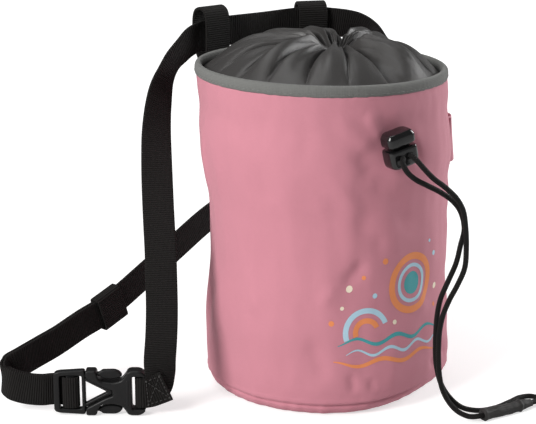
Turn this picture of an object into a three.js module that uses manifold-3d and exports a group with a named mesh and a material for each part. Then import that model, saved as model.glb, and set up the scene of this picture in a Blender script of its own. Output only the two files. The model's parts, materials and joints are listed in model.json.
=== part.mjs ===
// A climbing chalk bag with its waist belt, side-release buckle, drawcord and cord lock.
// Millimetres, +Z up. The origin is on the flat base, under the middle of the rim.
// The cord lock is at the front (-Y) and the belt loops are at the back (+Y).
// A turn is an angle about Z in degrees from the front, growing towards +X.

import * as THREE from 'three';
import { mergeVertices } from 'three/addons/utils/BufferGeometryUtils.js';
import Module from 'manifold-3d';

const wasm = await Module();
wasm.setup();

// Bag
const bagHeight = 157;
const rimRadius = 60;
const rimDrop = 2.4;
const rimDropTurn = 62;
const shellWall = 2;
const baseThickness = 2.4;
const baseRound = 4.5;
const bindingHeight = 5;
const bindingWidth = 3.2;
const closureThickness = 1.2;
const closureRise = 12.5;
const pleatHeight = 4.5;
const mouthRadius = 5;
const mouthTurn = 62;
const mouthShift = 6.6;
const baseLift = 4.4;
const baseLiftTurn = 30;
const baseLiftSpan = 30;
const baseLiftReach = 26;
const baseFlatInset = 0.35;
const clearance = 0.3;

// Webbing, belt loops, keeper and brush loop
const webbingWidth = 15;
const webbingThickness = 1.4;
const beltLoopTurn = 154;
const beltLoopFacing = 167;
const beltLoopSeat = 1.7;
const beltLoopRise = 20;
const beltLoopDepth = 10;
const beltLoopLeg = 26;
const beltSag = 1.6;
const keeperLength = 15;
const keeperWall = 1.1;
const brushLoopTurn = 81;
const brushLoopUp = 0.75;
const brushLoopHeight = 23;
const brushLoopSpan = 20;
const brushLoopHem = 4;
const brushLoopStandOff = 4.4;
const brushLoopTilt = 6;
const brushLoopThickness = 1.1;

// Buckle, which stands on its long edge on the floor
const buckleTurn = -90.2;
const buckleOut = 117.4;
const buckleHeading = -28;
const buckleHeight = 22;
const buckleThickness = 7;
const frameThickness = 4;
const barThickness = 2.6;
const outerBarWidth = 2.8;
const tongueBarWidth = 4.4;
const innerBarWidth = 1.6;
const socketBarWidth = 3;
const webbingSlack = 1.6;
const prongThickness = 3;
const guideBand = 1.9;
const socketLength = 28;

// Cord lock and cord
const lockTurn = 1.9;
const lockDrop = 36.4;
const lockRoll = 13;
const lockWidth = 14.8;
const lockDepth = 9.2;
const lockHousing = 8.8;
const lockCap = 6;
const lockGap = 1.6;
const buttonTravel = 1.3;
const stemWidth = 9.4;
const stemDepth = 4;
const holeSpacing = 4.6;
const holeHeight = 4.9;
const lockCorner = 2.2;
const pocketFloor = 1;
const cordDiameter = 2.5;
const sleeveDiameter = 5.2;
const sleeveLength = 29;

const around = 64;
const closureAround = 72;
const up = new THREE.Vector3(0, 0, 1);
const lockHeight = bagHeight - lockDrop;
const lap = webbingThickness + clearance;
const slotWidth = webbingThickness + webbingSlack;
const slotLength = webbingWidth + 4 * clearance;
const tongueLength =
  outerBarWidth + slotWidth + tongueBarWidth + slotWidth + innerBarWidth + clearance;
const { clamp, degToRad: degrees, euclideanModulo, lerp, smoothstep } = THREE.MathUtils;

// Side view of the bag: up is a share of the bag's height, out and shift are shares of the rim's
// radius, and shift moves the section towards the belt's free side, which the wall leans to.
const wallSections = [
  { up: 0.0, out: 0.968, shift: 0.062 },
  { up: 0.05, out: 0.994, shift: 0.068 },
  { up: 0.1, out: 1.003, shift: 0.067 },
  { up: 0.18, out: 0.993, shift: 0.06 },
  { up: 0.25, out: 0.988, shift: 0.058 },
  { up: 0.33, out: 0.967, shift: 0.058 },
  { up: 0.42, out: 0.957, shift: 0.07 },
  { up: 0.5, out: 0.96, shift: 0.068 },
  { up: 0.59, out: 0.965, shift: 0.055 },
  { up: 0.66, out: 0.983, shift: 0.042 },
  { up: 0.735, out: 1.003, shift: 0.037 },
  { up: 0.8, out: 1.0, shift: 0.028 },
  { up: 0.865, out: 0.987, shift: 0.022 },
  { up: 0.92, out: 0.996, shift: 0.016 },
  { up: 0.97, out: 0.996, shift: 0.004 },
];
const shiftTurn = 62;

// Soft dents and swells of the wall: span in degrees, tall as a share of the bag's height and
// deep as a share of the rim's radius, inwards where it is negative.
const dents = [
  { turn: -4, up: 0.71, span: 9, tall: 0.07, deep: -0.022 },
  { turn: 24, up: 0.8, span: 12, tall: 0.1, deep: 0.016 },
  { turn: -34, up: 0.62, span: 18, tall: 0.12, deep: -0.012 },
  { turn: -58, up: 0.3, span: 16, tall: 0.1, deep: 0.014 },
  { turn: -20, up: 0.2, span: 20, tall: 0.09, deep: -0.012 },
  { turn: 22, up: 0.36, span: 14, tall: 0.2, deep: -0.014 },
  { turn: 150, up: 0.45, span: 30, tall: 0.2, deep: -0.02 },
  { turn: -150, up: 0.6, span: 26, tall: 0.16, deep: -0.015 },
];

// Pleats of the gathered closure: rise is a share of pleatHeight and span is in degrees.
const pleats = [
  { turn: -24, rise: 0.55, span: 15 },
  { turn: -48, rise: -0.85, span: 8 },
  { turn: -67, rise: 1.05, span: 12 },
  { turn: -84, rise: -0.55, span: 6 },
  { turn: -96, rise: 0.6, span: 8 },
  { turn: -113, rise: -0.4, span: 7 },
  { turn: -134, rise: 0.55, span: 11 },
  { turn: -162, rise: 0.9, span: 11 },
  { turn: 180, rise: -0.6, span: 7 },
  { turn: 160, rise: 0.95, span: 10 },
  { turn: 139, rise: -0.6, span: 7 },
  { turn: 116, rise: 1.0, span: 12 },
  { turn: 88, rise: -0.7, span: 9 },
  { turn: 62, rise: 0.35, span: 9 },
  { turn: 38, rise: 1.15, span: 12 },
  { turn: 13, rise: -1.2, span: 10 },
];

// The hanging side of the belt, from above the buckle up to the left loop. out is a share of the
// rim's radius and up of the bag's height. The width of the webbing points along heading, a
// compass angle from +X, and climbs by rise; both are in degrees.
const hangingStretch = [
  { turn: -83.8, out: 1.511, up: 0.241, heading: 152, rise: 0 },
  { turn: -86.4, out: 1.465, up: 0.308, heading: 152, rise: 0 },
  { turn: -90.0, out: 1.421, up: 0.389, heading: 152, rise: 0 },
  { turn: -94.5, out: 1.38, up: 0.469, heading: 152, rise: 0 },
  { turn: -100.0, out: 1.349, up: 0.548, heading: 153, rise: 0 },
  { turn: -105.7, out: 1.329, up: 0.628, heading: 158, rise: 0 },
  { turn: -111.5, out: 1.319, up: 0.71, heading: 170, rise: 0 },
  { turn: -118.0, out: 1.317, up: 0.79, heading: 184, rise: 0 },
  { turn: -123.8, out: 1.309, up: 0.867, heading: 197, rise: 0 },
  { turn: -129.2, out: 1.291, up: 0.928, heading: 208, rise: 6 },
  { turn: -133.5, out: 1.249, up: 0.979, heading: 214, rise: 24 },
  { turn: -138.5, out: 1.2, up: 1.011, heading: 219, rise: 56 },
  { turn: -143.9, out: 1.16, up: 1.036, heading: 224, rise: 84 },
];

// The other side, from the right loop round the back of the bag and down towards the buckle.
const returningStretch = [
  { turn: 144.1, out: 1.135, up: 1.056, heading: 256, rise: 86 },
  { turn: 136.1, out: 1.2, up: 1.047, heading: 258, rise: 66 },
  { turn: 130.8, out: 1.265, up: 1.03, heading: 259, rise: 36 },
  { turn: 127.2, out: 1.32, up: 1.0, heading: 260, rise: 12 },
  { turn: 123.4, out: 1.375, up: 0.957, heading: 260, rise: 2 },
  { turn: 121.0, out: 1.44, up: 0.9, heading: 256, rise: 0 },
  { turn: 121.0, out: 1.46, up: 0.82, heading: 252, rise: 0 },
  { turn: 127.0, out: 1.46, up: 0.74, heading: 250, rise: 4 },
  { turn: 138.0, out: 1.44, up: 0.66, heading: 250, rise: 16 },
  { turn: 152.0, out: 1.4, up: 0.585, heading: 252, rise: 38 },
  { turn: 170.0, out: 1.34, up: 0.515, heading: 254, rise: 64 },
  { turn: 186.0, out: 1.29, up: 0.46, heading: 256, rise: 82 },
  { turn: 200.5, out: 1.27, up: 0.417, heading: 258, rise: 88 },
  { turn: 215.6, out: 1.351, up: 0.349, heading: 260, rise: 89 },
  { turn: 227.9, out: 1.5, up: 0.283, heading: 262, rise: 89 },
  { turn: 239.8, out: 1.752, up: 0.211, heading: 264, rise: 89 },
  { turn: 246.4, out: 1.97, up: 0.181, heading: 266, rise: 89 },
  { turn: 251.3, out: 2.17, up: 0.154, heading: 267, rise: 89 },
  { turn: 254.8, out: 2.34, up: 0.14, heading: 268, rise: 89 },
];
const keeperRow = returningStretch.at(-4);

// The belt beside the buckle, in the buckle's own axes: along from its middle towards the socket,
// high above the floor and front towards the outside. All three are shares of webbingWidth.
const leftBend = [
  { along: -2.66, high: 1.38, front: -0.86, heading: 250, rise: 89 },
  { along: -2.95, high: 1.23, front: -0.62, heading: 240, rise: 89 },
  { along: -3.06, high: 1.08, front: -0.32, heading: 230, rise: 89 },
  { along: -2.82, high: 0.96, front: -0.08, heading: 220, rise: 89 },
  { along: -2.3, high: 0.82, front: -0.02, heading: 210, rise: 90 },
  { along: -1.8, high: 0.76, front: -0.06, heading: 200, rise: 90 },
];
const rightCorner = [
  { along: 1.56, high: 0.71, front: -0.09, heading: 176, rise: 84 },
  { along: 1.76, high: 0.87, front: -0.08, heading: 186, rise: 60 },
  { along: 1.87, high: 1.24, front: -0.03, heading: 180, rise: 30 },
  { along: 1.88, high: 1.78, front: 0.0, heading: 160, rise: 8 },
];
const sewnFlap = [
  { along: 2.08, high: 0.97, front: 0.1, heading: 152, rise: 74 },
  { along: 1.82, high: 0.86, front: 0.1, heading: 152, rise: 79 },
  { along: 1.56, high: 0.77, front: 0.12, heading: 152, rise: 84 },
];

// The buckle's outlines from the front. along is a share of a half's length, from the end of the
// tongue or from the mouth of the socket, and high is a share of half the buckle's height.
const frameCorner = [
  { along: 0.17, high: 0.93 },
  { along: 0.05, high: 0.88 },
  { along: 0, high: 0.78 },
];
const prongOutline = [
  { along: -0.043, high: 0.735 },
  { along: 0.218, high: 0.735 },
  { along: 0.289, high: 0.62 },
  { along: 0.446, high: 0.58 },
  { along: 0.568, high: 0.66 },
  { along: 0.611, high: 0.74 },
  { along: 0.568, high: 0.9 },
  { along: 0.489, high: 0.99 },
  { along: 0.275, high: 0.98 },
  { along: 0.225, high: 0.865 },
  { along: -0.043, high: 0.865 },
];
const prongRoot = { along: 0.254, low: 0.735, high: 0.865 };
const housingEdge = [
  { along: 0, high: 0.96 },
  { along: 0.021, high: 1 },
  { along: 0.175, high: 1 },
  { along: 0.2, high: 0.7 },
  { along: 0.26, high: 0.52 },
  { along: 0.446, high: 0.47 },
  { along: 0.589, high: 0.56 },
  { along: 0.66, high: 0.78 },
  { along: 0.696, high: 0.95 },
  { along: 0.754, high: 1 },
  { along: 0.896, high: 1 },
  { along: 0.975, high: 0.88 },
  { along: 0.989, high: 0.74 },
];
// The see-through notch between the halves
const notchEdge = [
  { along: 0, high: 0.48 },
  { along: 0.143, high: 0.28 },
  { along: 0.351, high: 0 },
];

// Points of the two strands of the drawcord, from the front of the cord lock to the sleeve.
const leftStrand = [
  [-0.2, -73.4, 123.6],
  [0.9, -75.6, 119.8],
  [4.6, -76.8, 116.2],
  [10.6, -77.4, 112.8],
  [17.0, -78.2, 109.2],
  [22.8, -79.6, 104.8],
  [26.8, -80.4, 99.6],
  [29.3, -80.3, 91.2],
  [28.4, -79.0, 82.6],
  [27.5, -77.4, 74.2],
  [24.5, -75.8, 65.4],
  [22.6, -73.0, 56.6],
  [22.3, -71.2, 49.0],
  [22.6, -70.0, 41.3],
  [23.0, -69.2, 33.6],
  [23.4, -69.1, 26.1],
  [24.2, -69.7, 19.6],
  [25.5, -71.4, 13.2],
  [28.4, -74.4, 7.2],
  [32.6, -78.6, 2.9],
  [39.0, -82.4, 1.5],
  [48.0, -83.4, 1.4],
  [58.8, -80.6, 1.4],
  [66.6, -78.2, 1.4],
  [71.8, -79.2, 1.4],
  [73.6, -83.2, 1.5],
  [71.6, -86.9, 1.9],
];
const rightStrand = [
  [6.8, -73.8, 124.2],
  [9.2, -76.8, 120.4],
  [12.6, -79.2, 116.2],
  [17.9, -81.0, 111.8],
  [23.0, -82.4, 106.6],
  [26.4, -83.0, 100.8],
  [28.4, -82.9, 91.2],
  [29.4, -82.3, 82.4],
  [29.6, -81.3, 72.6],
  [27.5, -79.1, 64.2],
  [25.0, -76.6, 56.6],
  [23.2, -74.5, 49.0],
  [22.6, -73.0, 41.3],
  [22.8, -72.2, 33.6],
  [23.0, -72.1, 26.1],
  [23.3, -72.6, 19.8],
  [23.7, -74.2, 13.6],
  [25.0, -77.2, 7.9],
  [27.3, -81.6, 3.6],
  [30.6, -86.8, 1.8],
];
const sleeveStart = new THREE.Vector3(36.2, -90.6, 2.7);
const sleeveEnd = new THREE.Vector3(65.2, -88.6, 2.7);

const fabric = (colour, roughness) =>
  new THREE.MeshStandardMaterial({ color: colour, roughness, metalness: 0 });
const shellMaterial = fabric(0xd98ba0, 0.85);
const bindingMaterial = fabric(0x7d7f7d, 0.9);
const closureMaterial = fabric(0x55555a, 0.7);
const webbingMaterial = fabric(0x1d1d1f, 0.85);
const plasticMaterial = fabric(0x252527, 0.35);
const cordMaterial = fabric(0x17171a, 0.8);

// Value of a table's column at a height, smooth from row to row
function columnAt(table, column, height) {
  const last = table.length - 1;
  let row = 0;
  while (row < last - 1 && table[row + 1].up < height) {
    row += 1;
  }
  const span = table[row + 1].up - table[row].up;
  const share = clamp((height - table[row].up) / span, 0, 1);
  const before = table[Math.max(row - 1, 0)][column];
  const after = table[Math.min(row + 2, last)][column];
  const from = table[row][column];
  const to = table[row + 1][column];
  const slopeIn = (to - before) / 2;
  const slopeOut = (after - from) / 2;
  const square = share * share;
  const cube = square * share;
  return from * (2 * cube - 3 * square + 1)
    + to * (3 * square - 2 * cube)
    + slopeIn * (cube - 2 * square + share)
    + slopeOut * (cube - square);
}

function outward(turn) {
  return new THREE.Vector3(Math.sin(degrees(turn)), -Math.cos(degrees(turn)), 0);
}

function angleBetween(a, b) {
  return euclideanModulo(a - b + 180, 360) - 180;
}

// A bell curve of height 1 that falls off over its span
function bell(distance, span) {
  return Math.exp(-((distance / span) ** 2));
}

// The whole bag leans down by rimDrop across its rim, more the higher a point lies.
function leaned(point) {
  const share = point.z / bagHeight;
  const side = point.dot(outward(rimDropTurn)) / rimRadius;
  point.z -= (rimDrop / 2) * side * share * share;
  return point;
}

// The edge of the base is a little off the floor on one side; the wall above takes it up.
function lifted(point, turn, height) {
  const reach = 1 - smoothstep(height, 0, baseLiftReach);
  point.z += baseLift * bell(angleBetween(turn, baseLiftTurn), baseLiftSpan) * reach;
  return point;
}

// Outside of the bag's wall, or a surface offset inwards from it
function wallPoint(turn, height, inset = 0) {
  const share = height / bagHeight;
  let radius = rimRadius * columnAt(wallSections, 'out', share);
  for (const dent of dents) {
    const side = bell(angleBetween(turn, dent.turn), dent.span);
    radius += rimRadius * dent.deep * side * bell(share - dent.up, dent.tall);
  }
  const shift = rimRadius * columnAt(wallSections, 'shift', share);
  const point = outward(turn).multiplyScalar(radius - inset);
  point.addScaledVector(outward(shiftTurn), shift);
  point.z = height;
  return point;
}

function ringOf(count, pointAt) {
  return Array.from({ length: count }, (_, i) => pointAt((i / count) * 360));
}

// A closed body through rings of points. The rings run anticlockwise seen from where they lead;
// ends are capped flat, unless the last ring joins the first.
function loft(rings, joined = false) {
  const count = rings[0].length;
  const positions = rings.flat().flatMap((p) => [p.x, p.y, p.z]);
  const faces = [];
  const spans = joined ? rings.length : rings.length - 1;
  for (let r = 0; r < spans; r += 1) {
    const low = r * count;
    const high = ((r + 1) % rings.length) * count;
    for (let i = 0; i < count; i += 1) {
      const next = (i + 1) % count;
      faces.push(low + i, low + next, high + next, low + i, high + next, high + i);
    }
  }
  if (!joined) {
    for (const end of [0, rings.length - 1]) {
      const middle = rings[end].reduce((sum, p) => sum.add(p), new THREE.Vector3());
      middle.divideScalar(count);
      const centre = positions.length / 3;
      positions.push(middle.x, middle.y, middle.z);
      for (let i = 0; i < count; i += 1) {
        const a = end * count + i;
        const b = end * count + ((i + 1) % count);
        faces.push(centre, end === 0 ? b : a, end === 0 ? a : b);
      }
    }
  }
  const geometry = new THREE.BufferGeometry();
  geometry.setAttribute('position', new THREE.Float32BufferAttribute(positions, 3));
  geometry.setIndex(faces);
  return geometry;
}

function solidOf(geometry) {
  const bare = geometry.clone();
  bare.deleteAttribute('normal');
  bare.deleteAttribute('uv');
  const merged = mergeVertices(bare, 1e-4);
  const vertProperties = new Float32Array(merged.attributes.position.array);
  const triVerts = new Uint32Array(merged.index.array);
  return new wasm.Manifold(new wasm.Mesh({ numProp: 3, vertProperties, triVerts }));
}

function geometryOf(solid) {
  const { vertProperties, triVerts } = solid.getMesh();
  const geometry = new THREE.BufferGeometry();
  geometry.setAttribute('position', new THREE.BufferAttribute(vertProperties, 3));
  geometry.setIndex(new THREE.BufferAttribute(triVerts, 1));
  return geometry;
}

function meshOf(name, geometry, material) {
  const mesh = new THREE.Mesh(geometry, material);
  mesh.name = name;
  return mesh;
}

const bindingFoot = bagHeight - bindingHeight;
const bindingInside = rimRadius - bindingWidth;

// Wall and base in one piece: up the outside, over the top edge and down the inside
function bagShell() {
  const rings = [];
  const wallTop = bindingFoot - clearance;
  const wallRing = (height, inset) =>
    rings.push(
      ringOf(around, (turn) => lifted(leaned(wallPoint(turn, height, inset)), turn, height)),
    );
  rings.push(ringOf(around, (turn) => wallPoint(turn, 0, rimRadius * baseFlatInset)));
  for (let step = 0; step <= 3; step += 1) {
    const angle = (step / 4) * (Math.PI / 2);
    wallRing(baseRound * (1 - Math.cos(angle)), baseRound * (1 - Math.sin(angle)));
  }
  const levels = 16;
  for (let level = 0; level <= levels; level += 1) {
    wallRing(baseRound + (level / levels) * (wallTop - baseRound), 0);
  }
  const insideLevels = 7;
  for (let level = insideLevels; level >= 0; level -= 1) {
    const height = baseThickness + (level / insideLevels) * (wallTop - baseThickness);
    wallRing(height, shellWall + (level === 0 ? baseRound / 2 : 0));
  }
  return loft(rings);
}

// The folded tape round the top edge
function rimBinding() {
  const section = [
    { inset: 0.2, high: 0 },
    { inset: 0, high: 0.25 },
    { inset: 0, high: 0.74 },
    { inset: bindingWidth * 0.3, high: 1 },
    { inset: bindingWidth * 0.7, high: 1 },
    { inset: bindingWidth, high: 0.74 },
    { inset: bindingWidth, high: 0 },
  ];
  const rings = section.map(({ inset, high }) =>
    ringOf(around, (turn) => {
      const point = outward(turn).multiplyScalar(rimRadius - inset);
      point.z = bindingFoot + high * bindingHeight;
      return leaned(point);
    }),
  );
  return loft(rings, true);
}

const closureRadius = bindingInside - clearance;

// Top of the gathered cloth; inward is 0 at the rim and 1 at the mouth.
function closurePoint(turn, inward) {
  let fold = 0;
  for (const pleat of pleats) {
    fold += pleat.rise * bell(angleBetween(turn, pleat.turn), pleat.span);
  }
  const dome = Math.sin(Math.min(inward * 2, 1) * (Math.PI / 2));
  const dip = smoothstep(inward, 0.75, 1);
  const swell = smoothstep(inward, 0, 0.35) * (1 - 0.7 * dip);
  const radius = lerp(closureRadius, mouthRadius, inward);
  const point = outward(turn).multiplyScalar(radius);
  point.addScaledVector(outward(mouthTurn), mouthShift * inward);
  point.z = bindingFoot + closureThickness + closureRise * (dome - 0.3 * dip);
  point.z += pleatHeight * fold * swell;
  return leaned(point);
}

function closure() {
  const outsideSteps = 9;
  const insideSteps = 6;
  const rings = [];
  for (let step = 0; step <= outsideSteps; step += 1) {
    rings.push(ringOf(closureAround, (turn) => closurePoint(turn, step / outsideSteps)));
  }
  for (let step = insideSteps; step >= 0; step -= 1) {
    rings.push(
      ringOf(closureAround, (turn) => {
        const point = closurePoint(turn, step / insideSteps);
        point.z -= closureThickness;
        return point;
      }),
    );
  }
  return loft(rings, true);
}

// A strip of webbing through frames with a middle, a width direction and a thickness direction
function strip(frames, width, thickness) {
  const rings = frames.map(({ middle, wide, thick }) =>
    [[1, 1], [-1, 1], [-1, -1], [1, -1]].map(([w, t]) =>
      middle
        .clone()
        .addScaledVector(wide, (w * width) / 2)
        .addScaledVector(thick, (t * thickness) / 2),
    ),
  );
  return loft(rings);
}

// Frames along a smooth curve through the stations, which hold a point and a width direction
function framesThrough(stations, perSpan) {
  const route = new THREE.CatmullRomCurve3(stations.map((s) => s.point), false, 'centripetal');
  const widths = new THREE.CatmullRomCurve3(stations.map((s) => s.wide), false, 'centripetal');
  const last = (stations.length - 1) * perSpan;
  const frames = [];
  for (let step = 0; step <= last; step += 1) {
    const middle = route.getPoint(step / last);
    const along = route.getTangent(step / last);
    const wide = widths.getPoint(step / last);
    wide.addScaledVector(along, -wide.dot(along)).normalize();
    frames.push({ middle, wide, thick: along.clone().cross(wide), along });
  }
  return frames;
}

const legOut = rimRadius + beltLoopSeat + webbingThickness / 2;

// A point on a belt loop: offset is how far it lies behind the loop's inner leg.
function onBeltLoop(side, offset, height) {
  const point = outward(side * beltLoopTurn).multiplyScalar(legOut);
  point.addScaledVector(outward(side * beltLoopFacing), offset);
  point.z = height;
  return leaned(point);
}

// An upright loop of webbing at the back of the rim: both ends are sewn to the wall together
function beltLoop(side) {
  const wide = new THREE.Vector3().crossVectors(outward(side * beltLoopFacing), up);
  const arch = beltLoopDepth / 2;
  const top = bagHeight + beltLoopRise - webbingThickness / 2;
  const stations = [];
  const add = (offset, height) =>
    stations.push({ point: onBeltLoop(side, offset, height), wide });
  const foot = bagHeight - beltLoopLeg;
  const shoulder = top - arch;
  for (const share of [0, 0.5, 1]) {
    add(0, lerp(foot, shoulder, share));
  }
  for (const angle of [45, 90, 135]) {
    add(arch - arch * Math.cos(degrees(angle)), shoulder + arch * Math.sin(degrees(angle)));
  }
  for (const share of [1, 0.8, 0.6, 0.4, 0.2, 0]) {
    const spread = smoothstep(share, 0.25, 0.75);
    add(lerp(lap, beltLoopDepth, spread), lerp(foot, shoulder, share));
  }
  return strip(framesThrough(stations, 2), webbingWidth, webbingThickness);
}

// A low band on the wall that a brush handle slides through from above
function brushLoop() {
  const height = brushLoopUp * bagHeight;
  const degreesPerMm = 180 / (Math.PI * rimRadius);
  const half = brushLoopSpan / 2;
  const seat = clearance + brushLoopThickness / 2;
  const profile = [
    { side: -half - brushLoopHem, out: 0 },
    { side: -half, out: 0.04 },
    { side: -half * 0.7, out: 0.62 },
    { side: -half * 0.35, out: 0.95 },
    { side: 0, out: 1 },
    { side: half * 0.35, out: 0.95 },
    { side: half * 0.7, out: 0.62 },
    { side: half, out: 0.04 },
    { side: half + brushLoopHem, out: 0 },
  ];
  const stations = profile.map(({ side, out }) => {
    const turn = brushLoopTurn + side * degreesPerMm;
    const point = wallPoint(turn, height, -seat - out * brushLoopStandOff);
    const tilt = degrees(brushLoopTilt * out);
    const wide = outward(turn).multiplyScalar(-Math.sin(tilt)).addScaledVector(up, Math.cos(tilt));
    return { point: leaned(point), wide };
  });
  return strip(framesThrough(stations, 2), brushLoopHeight, brushLoopThickness);
}

const buckleMiddle = outward(buckleTurn).multiplyScalar(buckleOut);
buckleMiddle.z = buckleHeight / 2 + clearance;
const buckleAlong = new THREE.Vector3(
  Math.cos(degrees(buckleHeading)),
  Math.sin(degrees(buckleHeading)),
  0,
);
const buckleFront = buckleAlong.clone().cross(up);

function widthDirection({ heading, rise }) {
  const flat = Math.cos(degrees(rise));
  return new THREE.Vector3(
    flat * Math.cos(degrees(heading)),
    flat * Math.sin(degrees(heading)),
    Math.sin(degrees(rise)),
  );
}

function aroundBag(row) {
  const point = outward(row.turn).multiplyScalar(rimRadius * row.out);
  point.z = bagHeight * row.up;
  return { point, wide: widthDirection(row) };
}

function besideBuckle(row) {
  const point = buckleMiddle.clone();
  point.addScaledVector(buckleAlong, webbingWidth * row.along);
  point.addScaledVector(buckleFront, webbingWidth * row.front);
  point.z = webbingWidth * row.high;
  return { point, wide: widthDirection(row) };
}

// A point on the webbing at a bar of the buckle: along and front are millimetres from its middle.
function atBar(along, front) {
  const point = buckleMiddle.clone();
  point.addScaledVector(buckleAlong, along);
  point.addScaledVector(buckleFront, front);
  return { point, wide: up };
}

const buckleHalf = (tongueLength + socketLength) / 2;
const barClear = clearance + webbingThickness / 2;
const layerOut = barThickness / 2 + barClear;
const tongueEnd = -buckleHalf;
const tongueSlotStart = tongueEnd + outerBarWidth;
const tongueBarStart = tongueSlotStart + slotWidth;
const tongueBarEnd = tongueBarStart + tongueBarWidth;
const socketMouth = tongueEnd + tongueLength;
const socketBarEnd = buckleHalf - clearance;
const socketBarStart = socketBarEnd - socketBarWidth;
const socketSlotStart = socketBarStart - slotWidth - clearance;

// The whole belt in one strip: the sewn flap, round the socket's bar, up the hanging side,
// through both loops, round the back, through the bend and round the tongue's bar. The loose
// end then lies against the belt's inner side back to the keeper.
function beltFrames() {
  const loopUp = bagHeight + beltLoopRise - webbingThickness - beltSag - webbingWidth / 2;
  const atLoop = (side) => ({
    point: onBeltLoop(side, beltLoopDepth / 2, loopUp),
    wide: up,
  });
  const betweenLoops = {
    point: atLoop(1).point.add(atLoop(-1).point).multiplyScalar(0.5),
    wide: up,
  };
  betweenLoops.point.y += beltLoopDepth * 0.12;
  const stations = [
    ...sewnFlap.map(besideBuckle),
    atBar(socketBarEnd - 0.6, layerOut),
    atBar(socketBarStart + 0.4, layerOut),
    atBar(socketBarStart - barClear, layerOut - barClear),
    atBar(socketBarStart - barClear, barClear - layerOut),
    atBar(socketBarStart + 0.4, -layerOut),
    atBar(socketBarEnd - 0.6, -layerOut),
    ...rightCorner.map(besideBuckle),
    ...hangingStretch.map(aroundBag),
    atLoop(-1),
    betweenLoops,
    atLoop(1),
    ...returningStretch.map(aroundBag),
    ...leftBend.map(besideBuckle),
    atBar(tongueEnd - 1, -layerOut),
    atBar(tongueSlotStart, -layerOut),
    atBar(tongueBarStart - barClear, barClear - layerOut),
    atBar(tongueBarStart - barClear, layerOut - barClear),
    atBar(tongueBarStart + 0.4, layerOut),
    atBar(tongueBarEnd - 0.4, layerOut),
    atBar(tongueBarEnd + barClear, layerOut - barClear),
    atBar(tongueBarEnd + barClear, barClear - layerOut),
    atBar(tongueBarEnd - 0.6, -layerOut - lap * 0.7),
    atBar(tongueBarStart, -layerOut - lap),
  ];
  return framesThrough(stations, 2);
}

function waistBelt() {
  const frames = beltFrames();
  const tongueEntry = frames.findLastIndex(
    ({ middle }) => middle.clone().sub(buckleMiddle).dot(buckleAlong) < tongueEnd,
  );
  const keeperFrame = keeperFrameIndex(frames);
  const tail = frames
    .slice(keeperFrame, tongueEntry + 1)
    .reverse()
    .map(({ middle, wide, thick }) => ({
      middle: middle.clone().addScaledVector(thick, -lap),
      wide,
      thick: thick.clone().negate(),
    }));
  return strip([...frames, ...tail], webbingWidth, webbingThickness);
}

// The frame of the belt at the middle of the keeper
function keeperFrameIndex(frames) {
  const middle = aroundBag(keeperRow).point;
  const distances = frames.map((frame) => frame.middle.distanceTo(middle));
  return distances.indexOf(Math.min(...distances));
}

// A band round both layers of the belt, which it holds together
function beltKeeper() {
  const frames = beltFrames();
  const at = keeperFrameIndex(frames);
  const { middle, wide, thick, along } = frames[at];
  const centre = middle.clone().addScaledVector(thick, -lap / 2);
  const bandThrough = (width, depth, length) =>
    [-0.5, 0.5].map((end) => ({
      middle: centre.clone().addScaledVector(along, end * length),
      wide,
      thick,
    }));
  const inside = [webbingWidth + 4 * clearance, 2 * webbingThickness + 6 * clearance];
  const outside = inside.map((size) => size + 2 * keeperWall);
  const block = solidOf(strip(bandThrough(...outside, keeperLength), ...outside));
  const tunnel = solidOf(strip(bandThrough(...inside, keeperLength * 2), ...inside));
  return geometryOf(block.subtract(tunnel));
}

function outlineOf(points) {
  return new THREE.Shape(points.map(([x, y]) => new THREE.Vector2(x, y)));
}

function mirrored(topHalf) {
  const bottomHalf = topHalf.map(([x, y]) => [x, -y]).reverse();
  return outlineOf([...topHalf, ...bottomHalf]);
}

// A plate of an outline, centred on its thickness, with softened edges
function plate(shape, thickness, bevel) {
  const geometry = new THREE.ExtrudeGeometry(shape, {
    depth: thickness - 2 * bevel,
    bevelEnabled: bevel > 0,
    bevelThickness: bevel,
    bevelSize: bevel,
    bevelOffset: -bevel,
    bevelSegments: 1,
    curveSegments: 6,
  });
  geometry.translate(0, 0, bevel - thickness / 2);
  return geometry;
}

function block(width, height, depth, x, y, z) {
  const box = new THREE.BoxGeometry(width, height, depth);
  box.translate(x, y, z);
  return solidOf(box);
}

const buckleTop = buckleHeight / 2;
const onTongue = ({ along, high }) => [tongueEnd + tongueLength * along, buckleTop * high];
const onSocket = ({ along, high }) => [socketMouth + socketLength * along, buckleTop * high];

// A cut through the buckle, as long as a webbing slot
function slotCut(from, to, depth, front) {
  return block(to - from, slotLength, depth, (from + to) / 2, 0, front);
}

// The notch, widened by a band all round and reaching back out of the socket's mouth
function notchShape(band, back) {
  const edge = notchEdge.map(onSocket).map(([x, y]) => [x, y + band]);
  const apex = socketMouth + socketLength * notchEdge.at(-1).along;
  return mirrored([
    [socketMouth - back, edge[0][1]],
    ...edge,
    [apex + band * 1.3, band * 0.6],
  ]);
}

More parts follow.
